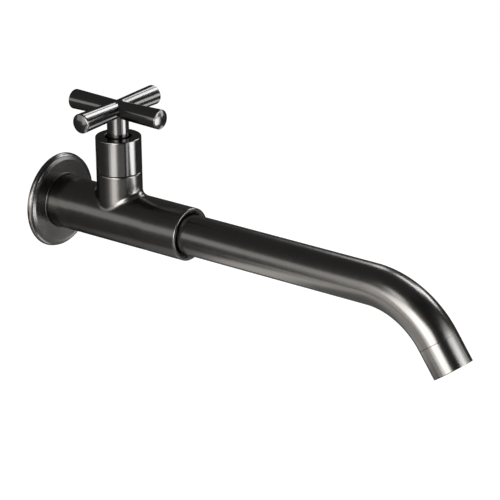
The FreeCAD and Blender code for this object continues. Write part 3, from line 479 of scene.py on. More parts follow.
# %% Cards
CARDS = {  # azimuths, elevations and finish
    "card_left": ((-180, -55), (-22, 65), black_card),
    "card_front": ((-55, 60), (-22, 65), deep_card),
    "card_right": ((60, 180), (-22, 65), black_card),
    "card_top": ((-180, 180), (65, 89.9), black_card),
    "card_foot_front": ((-180, 48), (-43, -22), black_card),
    "card_foot_side": ((48, 62), (-43, -22), black_card),
    "card_foot_high": ((62, 96), (-30, -22), black_card),
    "card_foot_right": ((62, 96), (-43, -30), pale_card),
    "card_foot_back": ((96, 180), (-43, -22), deep_card),
    "card_floor_front": ((-115, 0), (-75, -43), black_card),
    "card_floor_left": ((-180, -115), (-75, -43), grey_card),
    "card_floor_right": ((0, 180), (-75, -43), grey_card),
}
for name, card in CARDS.items():
    add_card(name, *card)
print("cards", len(CARDS))

# %% [markdown]
# ## From points to a mesh
# A shell could be pushed into shape by hand, but no one could repeat it. Here every shell is one
# or more grids of points that a formula gives. A grid's neighbours become four-sided faces, grids
# that share a border are merged there, and a row that shrinks to a point closes as a pole.

# %% Grid to mesh
MERGE_DISTANCE = 1e-6
SHARP_ANGLE = math.radians(38)


def shade(mesh):
    """Smooth shading that stays crisp across edges steeper than the sharp angle."""
    mesh.shade_smooth()
    mesh.set_sharp_from_angle(angle=SHARP_ANGLE)


def weld(name, grids):
    """One closed mesh from grids of points in millimetres, shaped (rows, columns, 3).

    The face at a row and column joins that point with its neighbours one row and one column on.
    """
    points, faces, start = [], [], 0
    for grid in grids:
        rows, columns = grid.shape[:2]
        index = start + np.arange(rows * columns).reshape(rows, columns)
        corners = (index[:-1, :-1], index[1:, :-1], index[1:, 1:], index[:-1, 1:])
        faces.append(np.stack(corners, -1).reshape(-1, 4))
        points.append(grid.reshape(-1, 3) * MM)
        start += rows * columns
    mesh = bpy.data.meshes.new(name)
    mesh.from_pydata(np.concatenate(points).tolist(), [], np.concatenate(faces).tolist())
    build = bmesh.new()
    build.from_mesh(mesh)
    bmesh.ops.remove_doubles(build, verts=build.verts, dist=MERGE_DISTANCE)
    bmesh.ops.recalc_face_normals(build, faces=build.faces)
    open_edges = sum(1 for edge in build.edges if not edge.is_manifold)
    build.to_mesh(mesh)
    build.free()
    shade(mesh)
    print(name, "faces", len(mesh.polygons), "open edges", open_edges)
    return mesh


print("points closer than", MERGE_DISTANCE / MM, "mm are merged")

# %% [markdown]
# ## Joining and drilling
# Few of the tap's forms cross each other: the cross and its neck, and the holes for two grub
# screws. Formulas for those seams would be long, so there a boolean joins or drills two closed
# meshes, and leaves no wall inside.

# %% Union and difference
def combine(mesh, other, operation):
    """The union of two closed meshes, or their difference, as one mesh without inner walls."""
    first = bpy.data.objects.new("first", mesh)
    second = bpy.data.objects.new("second", other)
    scene.collection.objects.link(first)
    scene.collection.objects.link(second)
    modifier = first.modifiers.new("join", "BOOLEAN")
    modifier.operation = operation
    modifier.solver = "EXACT"
    modifier.object = second
    bpy.context.view_layer.update()
    joined = first.evaluated_get(bpy.context.evaluated_depsgraph_get())
    made = bpy.data.meshes.new_from_object(joined)
    bpy.data.objects.remove(first)
    bpy.data.objects.remove(second)
    name = mesh.name
    bpy.data.meshes.remove(mesh)
    bpy.data.meshes.remove(other)
    made.name = name
    shade(made)
    print(name, operation.lower(), "faces", len(made.polygons))
    return made


print("meshes before the first shell", len(bpy.data.meshes))

# %% [markdown]
# ## Brush lines and pieces
# Brush lines run round each turned part, also over its end faces. A picture wrapped on the part
# would need a seam, so each point of a mesh stores how far across the lines it lies instead. That
# is its way along the axis plus its way outwards times a slope, which grows on every face.

# %% Grain and pieces
FACE_SLOPE = 1.37


def coordinates(mesh):
    """The mesh's points as an array, in millimetres."""
    flat = np.empty(len(mesh.vertices) * 3, np.float32)
    mesh.vertices.foreach_get("co", flat)
    return flat.reshape(-1, 3) / MM


def set_grain(mesh, across, slow_a, slow_b):
    """Stores, for the brush lines, the distance across them and two slow coordinates."""
    grain = mesh.attributes.new("grain", "FLOAT_VECTOR", "POINT")
    values = np.stack([across, slow_a, slow_b], -1).astype(np.float32)
    grain.data.foreach_set("vector", values.ravel())


def add_piece(mesh, body, replaced, material):
    """Shows the mesh as a piece that rides on a body and stands for a solid."""
    piece = bpy.data.objects.new(mesh.name, mesh)
    mesh.materials.append(material)
    scene.collection.objects.link(piece)
    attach(piece, body)
    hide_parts(replaced)
    print(piece.name, "rides on", body, "for", replaced)


print("slope of the lines on end faces", FACE_SLOPE)

# %% [markdown]
# ## Turned profiles
# Nearly every part of a tap is turned on a lathe. A screw modifier could turn a drawn line too,
# but here the outline is written as its corners, each with the radius of its rounding, because no
# real edge is sharp and it is the rounding that catches the light.

# %% Rounded outlines
ARC_STEPS = 5


def unit(vector):
    """The vector divided by its length."""
    return vector / np.linalg.norm(vector)


def rounded(corners, closed=True):
    """Points along an outline whose corners are (along, radius, rounding).

    A rounding is an arc that touches both sides of its corner. Its centre lies on the corner's
    bisector, at the rounding divided by the sine of half the corner's angle. One more point on
    each side, half a rounding beyond the arc, keeps the flat beside it flat when shaded.
    """
    spots = np.array([corner[:2] for corner in corners], float)
    last, following = np.roll(spots, 1, 0), np.roll(spots, -1, 0)
    outline = []
    for index, corner in enumerate(corners):
        spot = spots[index]
        rounding = corner[2] if len(corner) > 2 else 0.0
        if rounding == 0.0:
            outline.append(spot[None])
            continue
        to_last, to_next = unit(last[index] - spot), unit(following[index] - spot)
        half = math.acos(np.clip(to_last @ to_next, -1, 1)) / 2
        reach = rounding / math.tan(half)
        centre = spot + unit(to_last + to_next) * rounding / math.sin(half)
        turn = math.pi - 2 * half
        start = (spot + to_last * reach - centre) / rounding
        finish = (spot + to_next * reach - centre) / rounding
        share = np.linspace(0, 1, ARC_STEPS + 1)[:, None]
        swing = np.sin((1 - share) * turn) * start + np.sin(share * turn) * finish
        swing = swing / math.sin(turn)
        before = spot + to_last * (reach + rounding / 2)
        after = spot + to_next * (reach + rounding / 2)
        outline += [before[None], centre + rounding * swing, after[None]]
    if closed:
        outline.append(outline[0][:1])
    return np.concatenate(outline)


soft_square = rounded([(0, 0, 1), (0, 10, 1), (10, 10, 1), (10, 0, 1)])
print("a square with soft corners takes", len(soft_square), "points")

# %% Turning an outline round an axis
TURN_STEPS = 128
ROD_STEPS = 48
LYING = ((0, 0, 0), (0, 1, 0), (0, 0, 1))
UPRIGHT = ((0, tower_place, 0), (0, 0, 1), (1, 0, 0))


def turned(outline, origin, axis, side, steps=TURN_STEPS):
    """A grid of the outline (along, radius) carried round an axis through the origin.

    A point is the origin, plus along times the axis, plus the radius times the sideways
    direction turned about the axis by the step's angle.
    """
    axis, side = np.array(axis, float), np.array(side, float)
    other = np.cross(axis, side)
    angle = np.linspace(0, 2 * np.pi, steps + 1)
    ring = np.cos(angle)[:, None] * side + np.sin(angle)[:, None] * other
    along = outline[:, 0][:, None, None] * axis
    return np.array(origin, float) + along + outline[:, 1][:, None, None] * ring[None]


def rod(name, origin, axis, side, radius, length):
    """A closed rod, used to drill round holes: a rectangle carried round the axis."""
    outline = np.array([(0, 0), (0, radius), (length, radius), (length, 0)], float)
    return weld(name, [turned(outline, origin, axis, side, ROD_STEPS)])


print("a turn has", TURN_STEPS, "steps")

# %% Turned pieces
def turned_grain(mesh, origin, axis, side):
    """Brush lines that run round the axis: across them is the way along plus outwards."""
    axis, side = np.array(axis, float), np.array(side, float)
    offset = coordinates(mesh) - np.array(origin, float)
    along = offset @ axis
    flat_a, flat_b = offset @ side, offset @ np.cross(axis, side)
    set_grain(mesh, along + FACE_SLOPE * np.hypot(flat_a, flat_b), flat_a, flat_b)


def turn_piece(name, corners, way, body, material):
    """A piece that is one turned outline and replaces the solid of the same name."""
    mesh = weld(name + "_shell", [turned(rounded(corners), *way)])
    turned_grain(mesh, *way)
    add_piece(mesh, body, name, material)


print("the tower stands at", round(tower_place, 2), "mm")

# %% [markdown]
# ## Brushed gunmetal
# The finish is a dark metal coat over brass that was brushed round each turned part. Brushing
# leaves fine lines: they spread a highlight along the part, and vary in depth from line to line.
# A photographed texture would repeat, so noise that is stretched forty to eighty times along the
# lines gives their height, and slower noise makes soft cloudy changes in gloss and tone, as a
# hand-worked surface has.

# %% Brushed metal
FINE_LINES = (0.11, 9.0)
COARSE_LINES = (0.6, 22.0)
CLOUDS = (9.0, 9.0)
EDGE_TINT = (0.55, 0.55, 0.55, 1)


def brushed_metal(name, dark, light, gloss, line_depth):
    """Gunmetal whose lines follow the piece's own grain attribute.

    The tone and the roughness are each a sum of the fine and coarse lines and the clouds, and the
    height a sum of the fine and coarse lines alone, every one with its own weight.
    """
    material, shader, wire = new_material(name)
    grain = wire.node("ShaderNodeAttribute", {"attribute_name": "grain"}, output=1)

    def lines(pitch, length):
        """Noise with the given pitch across the lines and length along them, in millimetres."""
        scale = (1 / pitch, 1 / length, 1 / length)
        spot = wire.node("ShaderNodeVectorMath", {"operation": "MULTIPLY"}, {0: grain, 1: scale})
        inputs = {"Vector": spot, "Scale": 1.0, "Detail": 2.0, "Roughness": 0.6}
        return wire.node("ShaderNodeTexNoise", {}, inputs)

    fine, coarse, cloud = lines(*FINE_LINES), lines(*COARSE_LINES), lines(*CLOUDS)
    share = (0.35 * fine + 0.4 * coarse + 0.5 * cloud - 0.12).clamp()
    plug(shader, "Base Color", tint(wire, dark, light, share))
    plug(shader, "Metallic", 1.0)
    plug(shader, "Roughness", (gloss - 0.06) + 0.05 * fine + 0.03 * coarse + 0.04 * cloud)
    plug(shader, "Specular Tint", EDGE_TINT)
    plug(shader, "Normal", bump(wire, 0.6 * fine + 0.4 * coarse, line_depth))
    return material


SATIN_DARK, SATIN_LIGHT = (0.135, 0.130, 0.125), (0.172, 0.166, 0.160)
BRIGHT_DARK, BRIGHT_LIGHT = (0.150, 0.147, 0.144), (0.186, 0.183, 0.180)
dark_satin = brushed_metal("dark_satin", SATIN_DARK, SATIN_LIGHT, 0.24, 0.0014)
dark_bright = brushed_metal("dark_bright", BRIGHT_DARK, BRIGHT_LIGHT, 0.17, 0.0012)
print("nodes in dark_satin", len(dark_satin.node_tree.nodes))

# %% [markdown]
# ## Turned brass and steel
# The pieces inside show only in other views and in a taken-apart model, but each is finished as
# its real counterpart. Turned metal has lathe lines. Its solids come with no grain, and their
# meshes stay as they are, so the lines are worked out in the material from the object
# coordinates: across them is the way along the axis plus the way outwards.

# %% The way across the lathe's lines
def around(wire, upright):
    """Across-the-line distance in millimetres for a turned piece, from object coordinates.

    It is the way along the axis plus the slope times the distance from the axis, which is the
    root of the sum of the two squares.
    """
    spot = wire.node("ShaderNodeTexCoord", output=3)
    shift = (0, -tower_place * MM, 0) if upright else (0, 0, 0)
    spot = wire.node("ShaderNodeVectorMath", {"operation": "ADD"}, {0: spot, 1: shift})
    parts = wire.node("ShaderNodeSeparateXYZ", {}, {0: spot})
    split = parts.socket.node.outputs
    side, along = (split["Y"], split["Z"]) if upright else (split["Z"], split["Y"])
    x, side, along = Wire(wire.tree, split["X"]), Wire(wire.tree, side), Wire(wire.tree, along)
    radius = wire.math("SQRT", x * x + side * side)
    return (along + FACE_SLOPE * radius) * (1 / MM), spot


print("upright pieces turn about", round(tower_place, 2), "mm, lying ones about 0")

# %% Turned metal
LATHE_PITCH = 0.18
LATHE_DEPTH = 0.004
TURNED_CLOUD = 350.0


def turned_metal(name, dark, light, roughness, upright):
    """Metal with lathe lines, which are noise on the across-the-line distance over the pitch."""
    material, shader, wire = new_material(name)
    across, spot = around(wire, upright)
    rings = wire.node("ShaderNodeTexNoise", {"noise_dimensions": "1D"},
                      {"W": across * (1 / LATHE_PITCH), "Scale": 1.0, "Detail": 2.0})
    cloud_inputs = {"Vector": spot, "Scale": TURNED_CLOUD, "Detail": 3.0}
    cloud = wire.node("ShaderNodeTexNoise", {}, cloud_inputs)
    plug(shader, "Base Color", tint(wire, dark, light, (0.6 * rings + 0.6 * cloud - 0.1).clamp()))
    plug(shader, "Metallic", 1.0)
    plug(shader, "Roughness", (roughness - 0.08) + 0.1 * rings + 0.08 * cloud)
    plug(shader, "Normal", bump(wire, rings, LATHE_DEPTH))
    return material


BRASS_DARK, BRASS_LIGHT = (0.60, 0.44, 0.20), (0.76, 0.60, 0.33)
STEEL_DARK, STEEL_LIGHT = (0.46, 0.46, 0.47), (0.58, 0.58, 0.59)
brass_lying = turned_metal("brass_lying", BRASS_DARK, BRASS_LIGHT, 0.30, False)
brass_upright = turned_metal("brass_upright", BRASS_DARK, BRASS_LIGHT, 0.28, True)
steel_lying = turned_metal("steel_lying", STEEL_DARK, STEEL_LIGHT, 0.28, False)
steel_upright = turned_metal("steel_upright", STEEL_DARK, STEEL_LIGHT, 0.26, True)
print("nodes in brass_lying", len(brass_lying.node_tree.nodes))

# %% [markdown]
# ## Ceramic, rubber and plastic
# The discs are lapped ceramic, the seals black rubber, and the bushes and the aerator moulded
# plastic. A flat colour would do for their size, but a close view would show it. One recipe serves
# all: a fine grain in the height, over a slow change in tone and gloss.

# %% Moulded finishes
MOULDED_CLOUD = 180.0


def moulded(name, dark, light, roughness, grain_size, depth):
    """A moulded or soft finish: fine grain over a slow change in tone.

    The grain's size and depth are in millimetres, so its scale is a thousand over its size.
    """
    material, shader, wire = new_material(name)
    spot = wire.node("ShaderNodeTexCoord", output=3)
    grain_inputs = {"Vector": spot, "Scale": 1000.0 / grain_size, "Detail": 3.0}
    grain = wire.node("ShaderNodeTexNoise", {}, grain_inputs)
    cloud_inputs = {"Vector": spot, "Scale": MOULDED_CLOUD, "Detail": 2.0}
    cloud = wire.node("ShaderNodeTexNoise", {}, cloud_inputs)
    plug(shader, "Base Color", tint(wire, dark, light, (0.5 * grain + 0.6 * cloud - 0.05).clamp()))
    plug(shader, "Metallic", 0.0)
    plug(shader, "Roughness", (roughness - 0.08) + 0.1 * grain + 0.08 * cloud)
    plug(shader, "Normal", bump(wire, grain, depth))
    return material


ceramic = moulded("ceramic", (0.80, 0.79, 0.76), (0.88, 0.87, 0.84), 0.16, 0.5, 0.001)
rubber = moulded("rubber", (0.022, 0.022, 0.022), (0.038, 0.038, 0.038), 0.52, 0.25, 0.01)
white_plastic = moulded("white_plastic", (0.76, 0.76, 0.73), (0.84, 0.84, 0.81), 0.38, 0.4, 0.004)
grey_plastic = moulded("grey_plastic", (0.22, 0.22, 0.22), (0.29, 0.29, 0.29), 0.42, 0.3, 0.006)
print("nodes in white_plastic", len(white_plastic.node_tree.nodes))

# %% [markdown]
# ## Foam
# The gasket between flange and wall is closed-cell foam. Noise would give it a blurred grain, but
# foam has cells with walls, which is what a Voronoi pattern draws: raised between them, and dark in
# each cell's sunken middle, which is painted shade in the pits.

# %% Foam
CELL_SCALE = 1400.0
CELL_DEPTH = 0.25
FOAM_CLOUD = 260.0


def closed_foam(name):
    """Closed-cell foam, whose tone and height grow with the distance from each cell's middle."""
    material, shader, wire = new_material(name)
    spot = wire.node("ShaderNodeTexCoord", output=3)
    cells = wire.node("ShaderNodeTexVoronoi", {}, {"Vector": spot, "Scale": CELL_SCALE})
    cloud_inputs = {"Vector": spot, "Scale": FOAM_CLOUD, "Detail": 3.0}
    cloud = wire.node("ShaderNodeTexNoise", {}, cloud_inputs)
    # The dark in each cell's sunken middle is painted shade in the pits.
    share = (0.8 * cells + 0.4 * cloud).clamp()
    plug(shader, "Base Color", tint(wire, (0.018, 0.018, 0.018), (0.06, 0.06, 0.06), share))
    plug(shader, "Roughness", 0.78 + 0.15 * cells)
    plug(shader, "Normal", bump(wire, cells, CELL_DEPTH))
    return material


foam = closed_foam("foam")
print("nodes in foam", len(foam.node_tree.nodes))

# %% [markdown]
# ## Wall flange
# A spun cover plate: a steep edge, a small rounding and a slightly domed face, with a low lip
# where it meets the barrel. A plain bevelled disc would have one flat streak, but here the edge
# mirrors the key, the rounding mirrors the strip, and a dark line runs between the two.

# %% Arcs in an outline
def bow(start, finish, radius, count):
    """Corners along an arc of the given radius that bulges to the right of the way it goes.

    The arc's half angle has the sine of half the chord over the radius. Its centre lies to the
    left of the chord's middle, at the radius times that angle's cosine.
    """
    start, finish = np.array(start), np.array(finish)
    chord = finish - start
    half = math.asin(np.linalg.norm(chord) / 2 / radius)
    left = np.array([-chord[1], chord[0]]) / np.linalg.norm(chord)
    centre = (start + finish) / 2 + left * radius * math.cos(half)
    spin = np.linspace(-half, half, count)
    reach = -left * radius
    arc = np.stack([reach[0] * np.cos(spin) - reach[1] * np.sin(spin),
                    reach[0] * np.sin(spin) + reach[1] * np.cos(spin)], -1)
    return (centre + arc).tolist()


print("a bow from (0, 0) to (2, 0) passes", [round(x, 3) for x in bow((0, 0), (2, 0), 2, 3)[1]])

# %% Wall flange
EDGE = 0.25
FLANGE_FACE = -4.0
FACE_CROWN = 0.5
EDGE_HEIGHT = 0.6
EDGE_CURVE = 6.0
EDGE_POINTS = 6
EDGE_END = (-2.6, flange_radius - 0.75)
SHOULDER = (-3.3, flange_radius - 1.35)
SHOULDER_ROUNDING = 1.6
RIM_WIDTH = 3.7
RIM_ROUNDING = 2.0
FLANGE_BORE = barrel_radius + 0.25
LIP_RADIUS = FLANGE_BORE + 1.1
LIP_HEIGHT = 0.25
GASKET_FLOOR = -1.2
GASKET_INNER = FLANGE_BORE + 3.25
GASKET_OUTER = flange_radius - 3.0

turn_piece("wall_flange", [
    (GASKET_FLOOR, GASKET_OUTER, 0.1),
    (0, GASKET_OUTER, 0.1),
    (0, flange_radius, EDGE),
    *bow((-EDGE_HEIGHT, flange_radius), EDGE_END, EDGE_CURVE, EDGE_POINTS),
    (*SHOULDER, SHOULDER_ROUNDING),
    (FLANGE_FACE, flange_radius - RIM_WIDTH, RIM_ROUNDING),
    (FLANGE_FACE - FACE_CROWN, LIP_RADIUS, 0.1),
    (FLANGE_FACE - FACE_CROWN - LIP_HEIGHT, LIP_RADIUS, 0.1),
    (FLANGE_FACE - FACE_CROWN - LIP_HEIGHT, FLANGE_BORE, 0.1),
    (0, FLANGE_BORE, 0.2),
    (0, GASKET_INNER, 0.1),
    (GASKET_FLOOR, GASKET_INNER, 0.1),
], LYING, "tap_body", dark_satin)

# %% [markdown]
# ## The tee: barrel and boss
# The barrel and its upright boss are one casting with a soft fillet between them. A boolean and a
# bevel would leave an uneven mesh there. Instead the fillet is worked out as the path of a ball
# that rolls round the boss and touches both cylinders, and the barrel's skin is a fan of rays
# from the ball's track out to a rectangle that wraps the whole barrel. Its mouth is countersunk,
# which gives the bright line round the dark gap, and its boss ends in one side of the fine seam.

# %% A rectangle round the barrel
AROUND_STEPS = 96
ALONG_STEPS = 28
PATCH_HALF = 30.0


def patch_border():
    """The rectangle's border as (angle round the barrel, place from the boss), once round."""
    edge_a = np.linspace(-np.pi, np.pi, AROUND_STEPS + 1)
    edge_y = np.linspace(PATCH_HALF, -PATCH_HALF, ALONG_STEPS + 1)
    top = np.stack([edge_a, np.full_like(edge_a, PATCH_HALF)], -1)
    right = np.stack([np.full_like(edge_y, np.pi), edge_y], -1)
    bottom = np.stack([edge_a[::-1], np.full_like(edge_a, -PATCH_HALF)], -1)
    left = np.stack([np.full_like(edge_y, -np.pi), edge_y[::-1]], -1)
    return np.concatenate([top, right[1:], bottom[1:], left[1:]])


def barrel_points(angle, place, radius=barrel_radius):
    """Points on a lying cylinder, with the angle counted from the top.

    The way to the side is the radius times the angle's sine, and the height times its cosine.
    """
    return np.stack([radius * np.sin(angle), place, radius * np.cos(angle)], -1)


border = patch_border()
print("points on the rectangle's border", len(border))

# %% The rolling ball
JUNCTION_FILLET = 5.0


def ball_track():
    """The ball's centre and its two touching points, for each direction round the boss.

    The centre lies at boss radius plus fillet from the boss's axis, and at barrel radius plus
    fillet from the barrel's. Drawn in to each cylinder, it gives the two touching points.
    """
    phi = np.arctan2(border[:, 0] / np.pi, border[:, 1] / PATCH_HALF)
    ball = tower_radius + JUNCTION_FILLET
    out_x, out_y = np.sin(phi), np.cos(phi)
    centre_z = np.sqrt((barrel_radius + JUNCTION_FILLET) ** 2 - (ball * out_x) ** 2)
    centre = np.stack([ball * out_x, tower_place + ball * out_y, centre_z], -1)
    drawn_in = barrel_radius / (barrel_radius + JUNCTION_FILLET)
    on_barrel = centre * (drawn_in, 1, drawn_in)
    on_boss = np.stack([tower_radius * out_x, tower_place + tower_radius * out_y, centre_z], -1)
    return np.stack([out_x, out_y], -1), centre, on_barrel, on_boss


ring, centre, on_barrel, on_boss = ball_track()
print("the ball's centre is at", [round(z, 2) for z in (centre[:, 2].min(), centre[:, 2].max())])

# %% The barrel's skin
FAN_ROWS = 14
FAN_EASE = 1.5


def fan_grid():
    """Rays on the barrel, from the ball's track out to the rectangle.

    A point is the track's own plus a share of the way to the border. The shares are even steps
    raised to the ease, so the rows lie closer together beside the fillet.
    """
    contact_angle = np.arctan2(on_barrel[:, 0], on_barrel[:, 2])
    share = np.linspace(0, 1, FAN_ROWS)[:, None] ** FAN_EASE
    angle = contact_angle + share * (border[:, 0] - contact_angle)
    place = on_barrel[:, 1] + share * (tower_place + border[:, 1] - on_barrel[:, 1])
    return barrel_points(angle, place)


skin = fan_grid()
print("the skin has", skin.shape[0], "rows of", skin.shape[1], "points")

# %% The fillet
FILLET_ROWS = 9


def fillet_grid():
    """The arc about the ball's centre from one touching point to the other.

    A point is the centre plus both rays to the touching points, each times the sine of the
    angle between the point and the other ray, over the sine of the whole angle.
    """
    first, second = on_barrel - centre, on_boss - centre
    cosine = (first * second).sum(-1) / JUNCTION_FILLET ** 2
    turn = np.arccos(np.clip(cosine, -1, 1))[:, None]
    step = np.linspace(0, 1, FILLET_ROWS)[:, None, None]
    swing = np.sin((1 - step) * turn) * first + np.sin(step * turn) * second
    return centre + swing / np.sin(turn)


fillet = fillet_grid()
print("the fillet has", fillet.shape[0], "rows")

# %% The boss, its seam and its bore
BOSS_ROWS = 5
BOSS_RIM = 3.0
SEAM_ROUNDING = 1.2
SPIGOT_RADIUS = 12.6
BOSS_BORE = [(spigot_top, 10.6), (6.0, 10.0), (4.0, 9.5), (4.0, 0)]


def boss_grids():
    """The boss from the fillet to just below its rim, then the rim, the spigot and the bore.

    The upper part is the outline's radius times the ring of directions, at the outline's height.
    The lower part goes in even steps from the fillet's top to the upper part's first row.
    """
    top = rounded([(boss_top - BOSS_RIM, tower_radius), (boss_top, tower_radius, SEAM_ROUNDING),
                   (boss_top, SPIGOT_RADIUS), (spigot_top, SPIGOT_RADIUS, 0.3),
                   *BOSS_BORE], False)
    upper = np.empty((len(top), len(ring), 3))
    upper[..., :2] = top[:, 1][:, None, None] * ring + (0, tower_place)
    upper[..., 2] = top[:, 0][:, None]
    rise = np.linspace(0, 1, BOSS_ROWS)[:, None, None]
    return [on_boss + rise * (upper[0] - on_boss), upper]


boss = boss_grids()
print("the boss has", sum(len(grid) for grid in boss), "rows")

# %% The barrel's two ends
MOUTH_ROUNDING = 0.8
COUNTERSINK_WIDTH = 1.6
COUNTERSINK_DEPTH = 1.0
RECESS_RADIUS = 13.2
RECESS_FLOOR = mouth + 5.0
SOCKET_RADIUS = 11.85
SOCKET_FLOOR = tower_place - 21.8
INLET_RADIUS = 10.53
INLET_FLOOR = -20.0

edge_angle = np.linspace(-np.pi, np.pi, AROUND_STEPS + 1)
front = rounded([(tower_place - PATCH_HALF, barrel_radius),
                 (mouth, barrel_radius, MOUTH_ROUNDING),
                 (mouth, RECESS_RADIUS + COUNTERSINK_WIDTH, 0.2),
                 (mouth + COUNTERSINK_DEPTH, RECESS_RADIUS, 0.2),
                 (RECESS_FLOOR, RECESS_RADIUS), (RECESS_FLOOR, SOCKET_RADIUS),
                 (SOCKET_FLOOR, SOCKET_RADIUS), (SOCKET_FLOOR, 0)], False)
back = rounded([(tower_place + PATCH_HALF, barrel_radius), (barrel_rear, barrel_radius, 0.2),
                (barrel_rear, INLET_RADIUS), (INLET_FLOOR, INLET_RADIUS), (INLET_FLOOR, 0)], False)
ends = [barrel_points(edge_angle[None, :], np.tile(outline[:, 0][:, None], (1, len(edge_angle))),
                      outline[:, 1][:, None]) for outline in (front, back)]
tee_mesh = weld("tee_shell", [skin, fillet] + boss + ends)

# %% The lock screw's hole, and the tee's brush lines
HOLE_ROOM = 0.05
LOCK_HOLE_START = 1.0
LOCK_HOLE_LENGTH = 5.0
FILLET_SHARE = 0.6
UPRIGHT_FROM = 6

lock_low, lock_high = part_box("spout_lock_screw")
lock_place = (lock_low.y + lock_high.y) / 2 / MM
lock_radius = lock_high.x / MM + HOLE_ROOM
hole = rod("lock_hole", (0, lock_place, -barrel_radius - LOCK_HOLE_START),
           (0, 0, 1), (1, 0, 0), lock_radius, LOCK_HOLE_LENGTH)
tee_mesh = combine(tee_mesh, hole, "DIFFERENCE")
spots = coordinates(tee_mesh)
from_tower = np.hypot(spots[:, 0], spots[:, 1] - tower_place)
near_boss = from_tower < tower_radius + JUNCTION_FILLET * FILLET_SHARE
on_upright = near_boss & (spots[:, 2] > UPRIGHT_FROM)
lying_grain = spots[:, 1] + FACE_SLOPE * np.hypot(spots[:, 0], spots[:, 2])
upright_grain = spots[:, 2] + FACE_SLOPE * from_tower
set_grain(tee_mesh, np.where(on_upright, upright_grain, lying_grain), spots[:, 0],
          np.where(on_upright, spots[:, 1], spots[:, 2]))
add_piece(tee_mesh, "tap_body", "valve_body", dark_satin)

# %% [markdown]
# ## Inlet nipple
# The half-inch nipple that carries the tap on the wall fitting. A thread could be a swept coil
# joined to a bar, which leaves slivers where it runs out. Here it is a wave on the radius that
# moves along the axis by one pitch per turn, so a plain grid round the axis holds the whole
# helix. The same grid turns inside, where the hexagon for the fitter's key is one more wave.

# %% Inlet nipple sizes
THREAD_PITCH = 1.814
THREAD_DEPTH = 1.162
THREAD_ROWS = 220
THREAD_FLANK = 1.25
THREAD_FLAT = 0.125
BAR_BEVEL = 1.3
RELIEF_WIDTH = 1.5
NIPPLE_BORE = 5.8
BORE_BEVEL = (0.4, 0.3)
KEY_WIDTH = 12.0
KEY_DEPTH = 8.0
KEY_LEAD = 0.2
KEY_STRAIGHT = 0.6
nipple_low, nipple_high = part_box("inlet_nipple")
nipple_radius = nipple_high.x / MM
nipple_inner, nipple_outer = nipple_low.y / MM, nipple_high.y / MM
print("nipple radius", round(nipple_radius, 2), "length", round(nipple_outer - nipple_inner, 2))

# %% The thread
def thread_radius(place, turn):
    """The radius outside, for places along the axis and shares of a turn.

    The thread's radius falls from the crest by the depth times a rounded triangle wave of place
    over pitch plus turn, and is never more than the bar's own outline with its end bevels and
    the relief groove.
    """
    phase = (place / THREAD_PITCH + turn) % 1.0
    wave = np.clip(THREAD_FLANK * np.abs(2 * phase - 1) - THREAD_FLAT, 0, 1)
    thread = nipple_radius - THREAD_DEPTH * (1 - wave)
    from_end = np.minimum(nipple_outer - place, place - nipple_inner)
    bar = nipple_radius - np.maximum(BAR_BEVEL - from_end, 0)
    in_relief = (place < barrel_rear) & (place > barrel_rear - RELIEF_WIDTH)
    relief = np.where(in_relief, nipple_radius - THREAD_DEPTH, np.inf)
    return np.minimum(np.minimum(thread, bar), relief)


turn = np.linspace(0, 1, AROUND_STEPS + 1)[None, :]
outer_place = np.linspace(nipple_outer, nipple_inner, THREAD_ROWS)[:, None]
outer = thread_radius(outer_place, turn)
print("outside between", round(outer.min(), 2), "and", round(outer.max(), 2), "mm from the axis")

# %% The bore and the key's hexagon
def bore_rows(turn):
    """The places and radii inside, from the hexagon's mouth to the far end of the bore.

    A hexagon's radius is half its width over the cosine of the angle from the middle of its side.
    """
    side_angle = (turn * 2 * np.pi) % (np.pi / 3) - np.pi / 6
    hexagon = KEY_WIDTH / 2 / np.cos(side_angle)
    bore = np.full_like(turn, NIPPLE_BORE)
    bevel_length, bevel_width = BORE_BEVEL
    key_end = nipple_inner + KEY_DEPTH
    place = np.array([nipple_inner, key_end - KEY_STRAIGHT, key_end, key_end,
                      nipple_outer - bevel_length, nipple_outer])[:, None]
    rows = [hexagon + KEY_LEAD, hexagon, hexagon, bore, bore, bore + bevel_width]
    return place, np.concatenate(rows)


inner_place, inner = bore_rows(turn)
print("hexagon", KEY_WIDTH, "mm over its flats,", KEY_DEPTH, "mm deep")

# %% Inlet nipple
radius = np.concatenate([outer, inner, outer[:1]])
along = np.concatenate([outer_place, inner_place, outer_place[:1]])
angle = turn * 2 * np.pi
nipple_grid = np.stack([radius * np.sin(angle), along + 0 * angle, radius * np.cos(angle)], -1)
nipple_mesh = weld("nipple_shell", [nipple_grid])
add_piece(nipple_mesh, "tap_body", "inlet_nipple", brass_lying)

# %% [markdown]
# ## Bonnet sleeve
# A plain turned sleeve over the cartridge. It could be a tube with bevelled edges, but two
# details carry it: the fine seam where it meets the boss, which is its small rounding beside the
# boss's wider one, and the dark hole that the handle's neck goes down into. The outline holds
# both.

# %% Bonnet sleeve
NECK_RADIUS = 6.7
NECK_HOLE = NECK_RADIUS + 1.45
BONNET_CEILING = bonnet_top - 4.0
SPIGOT_HOLE = SPIGOT_RADIUS + 0.05
SLEEVE_BORE = SPIGOT_RADIUS - 0.3
SLEEVE_STEP = boss_top + 6.0

turn_piece("bonnet_sleeve", [
    (boss_top, SPIGOT_HOLE, 0.1),
    (boss_top, tower_radius, EDGE),
    (bonnet_top, tower_radius, 0.7),
    (bonnet_top, NECK_HOLE, 0.4),
    (BONNET_CEILING, NECK_HOLE, 0.2),
    (BONNET_CEILING, SLEEVE_BORE, 0.2),
    (SLEEVE_STEP, SLEEVE_BORE, 0.1),
    (SLEEVE_STEP, SPIGOT_HOLE, 0.1),
], UPRIGHT, "tap_body", dark_bright)

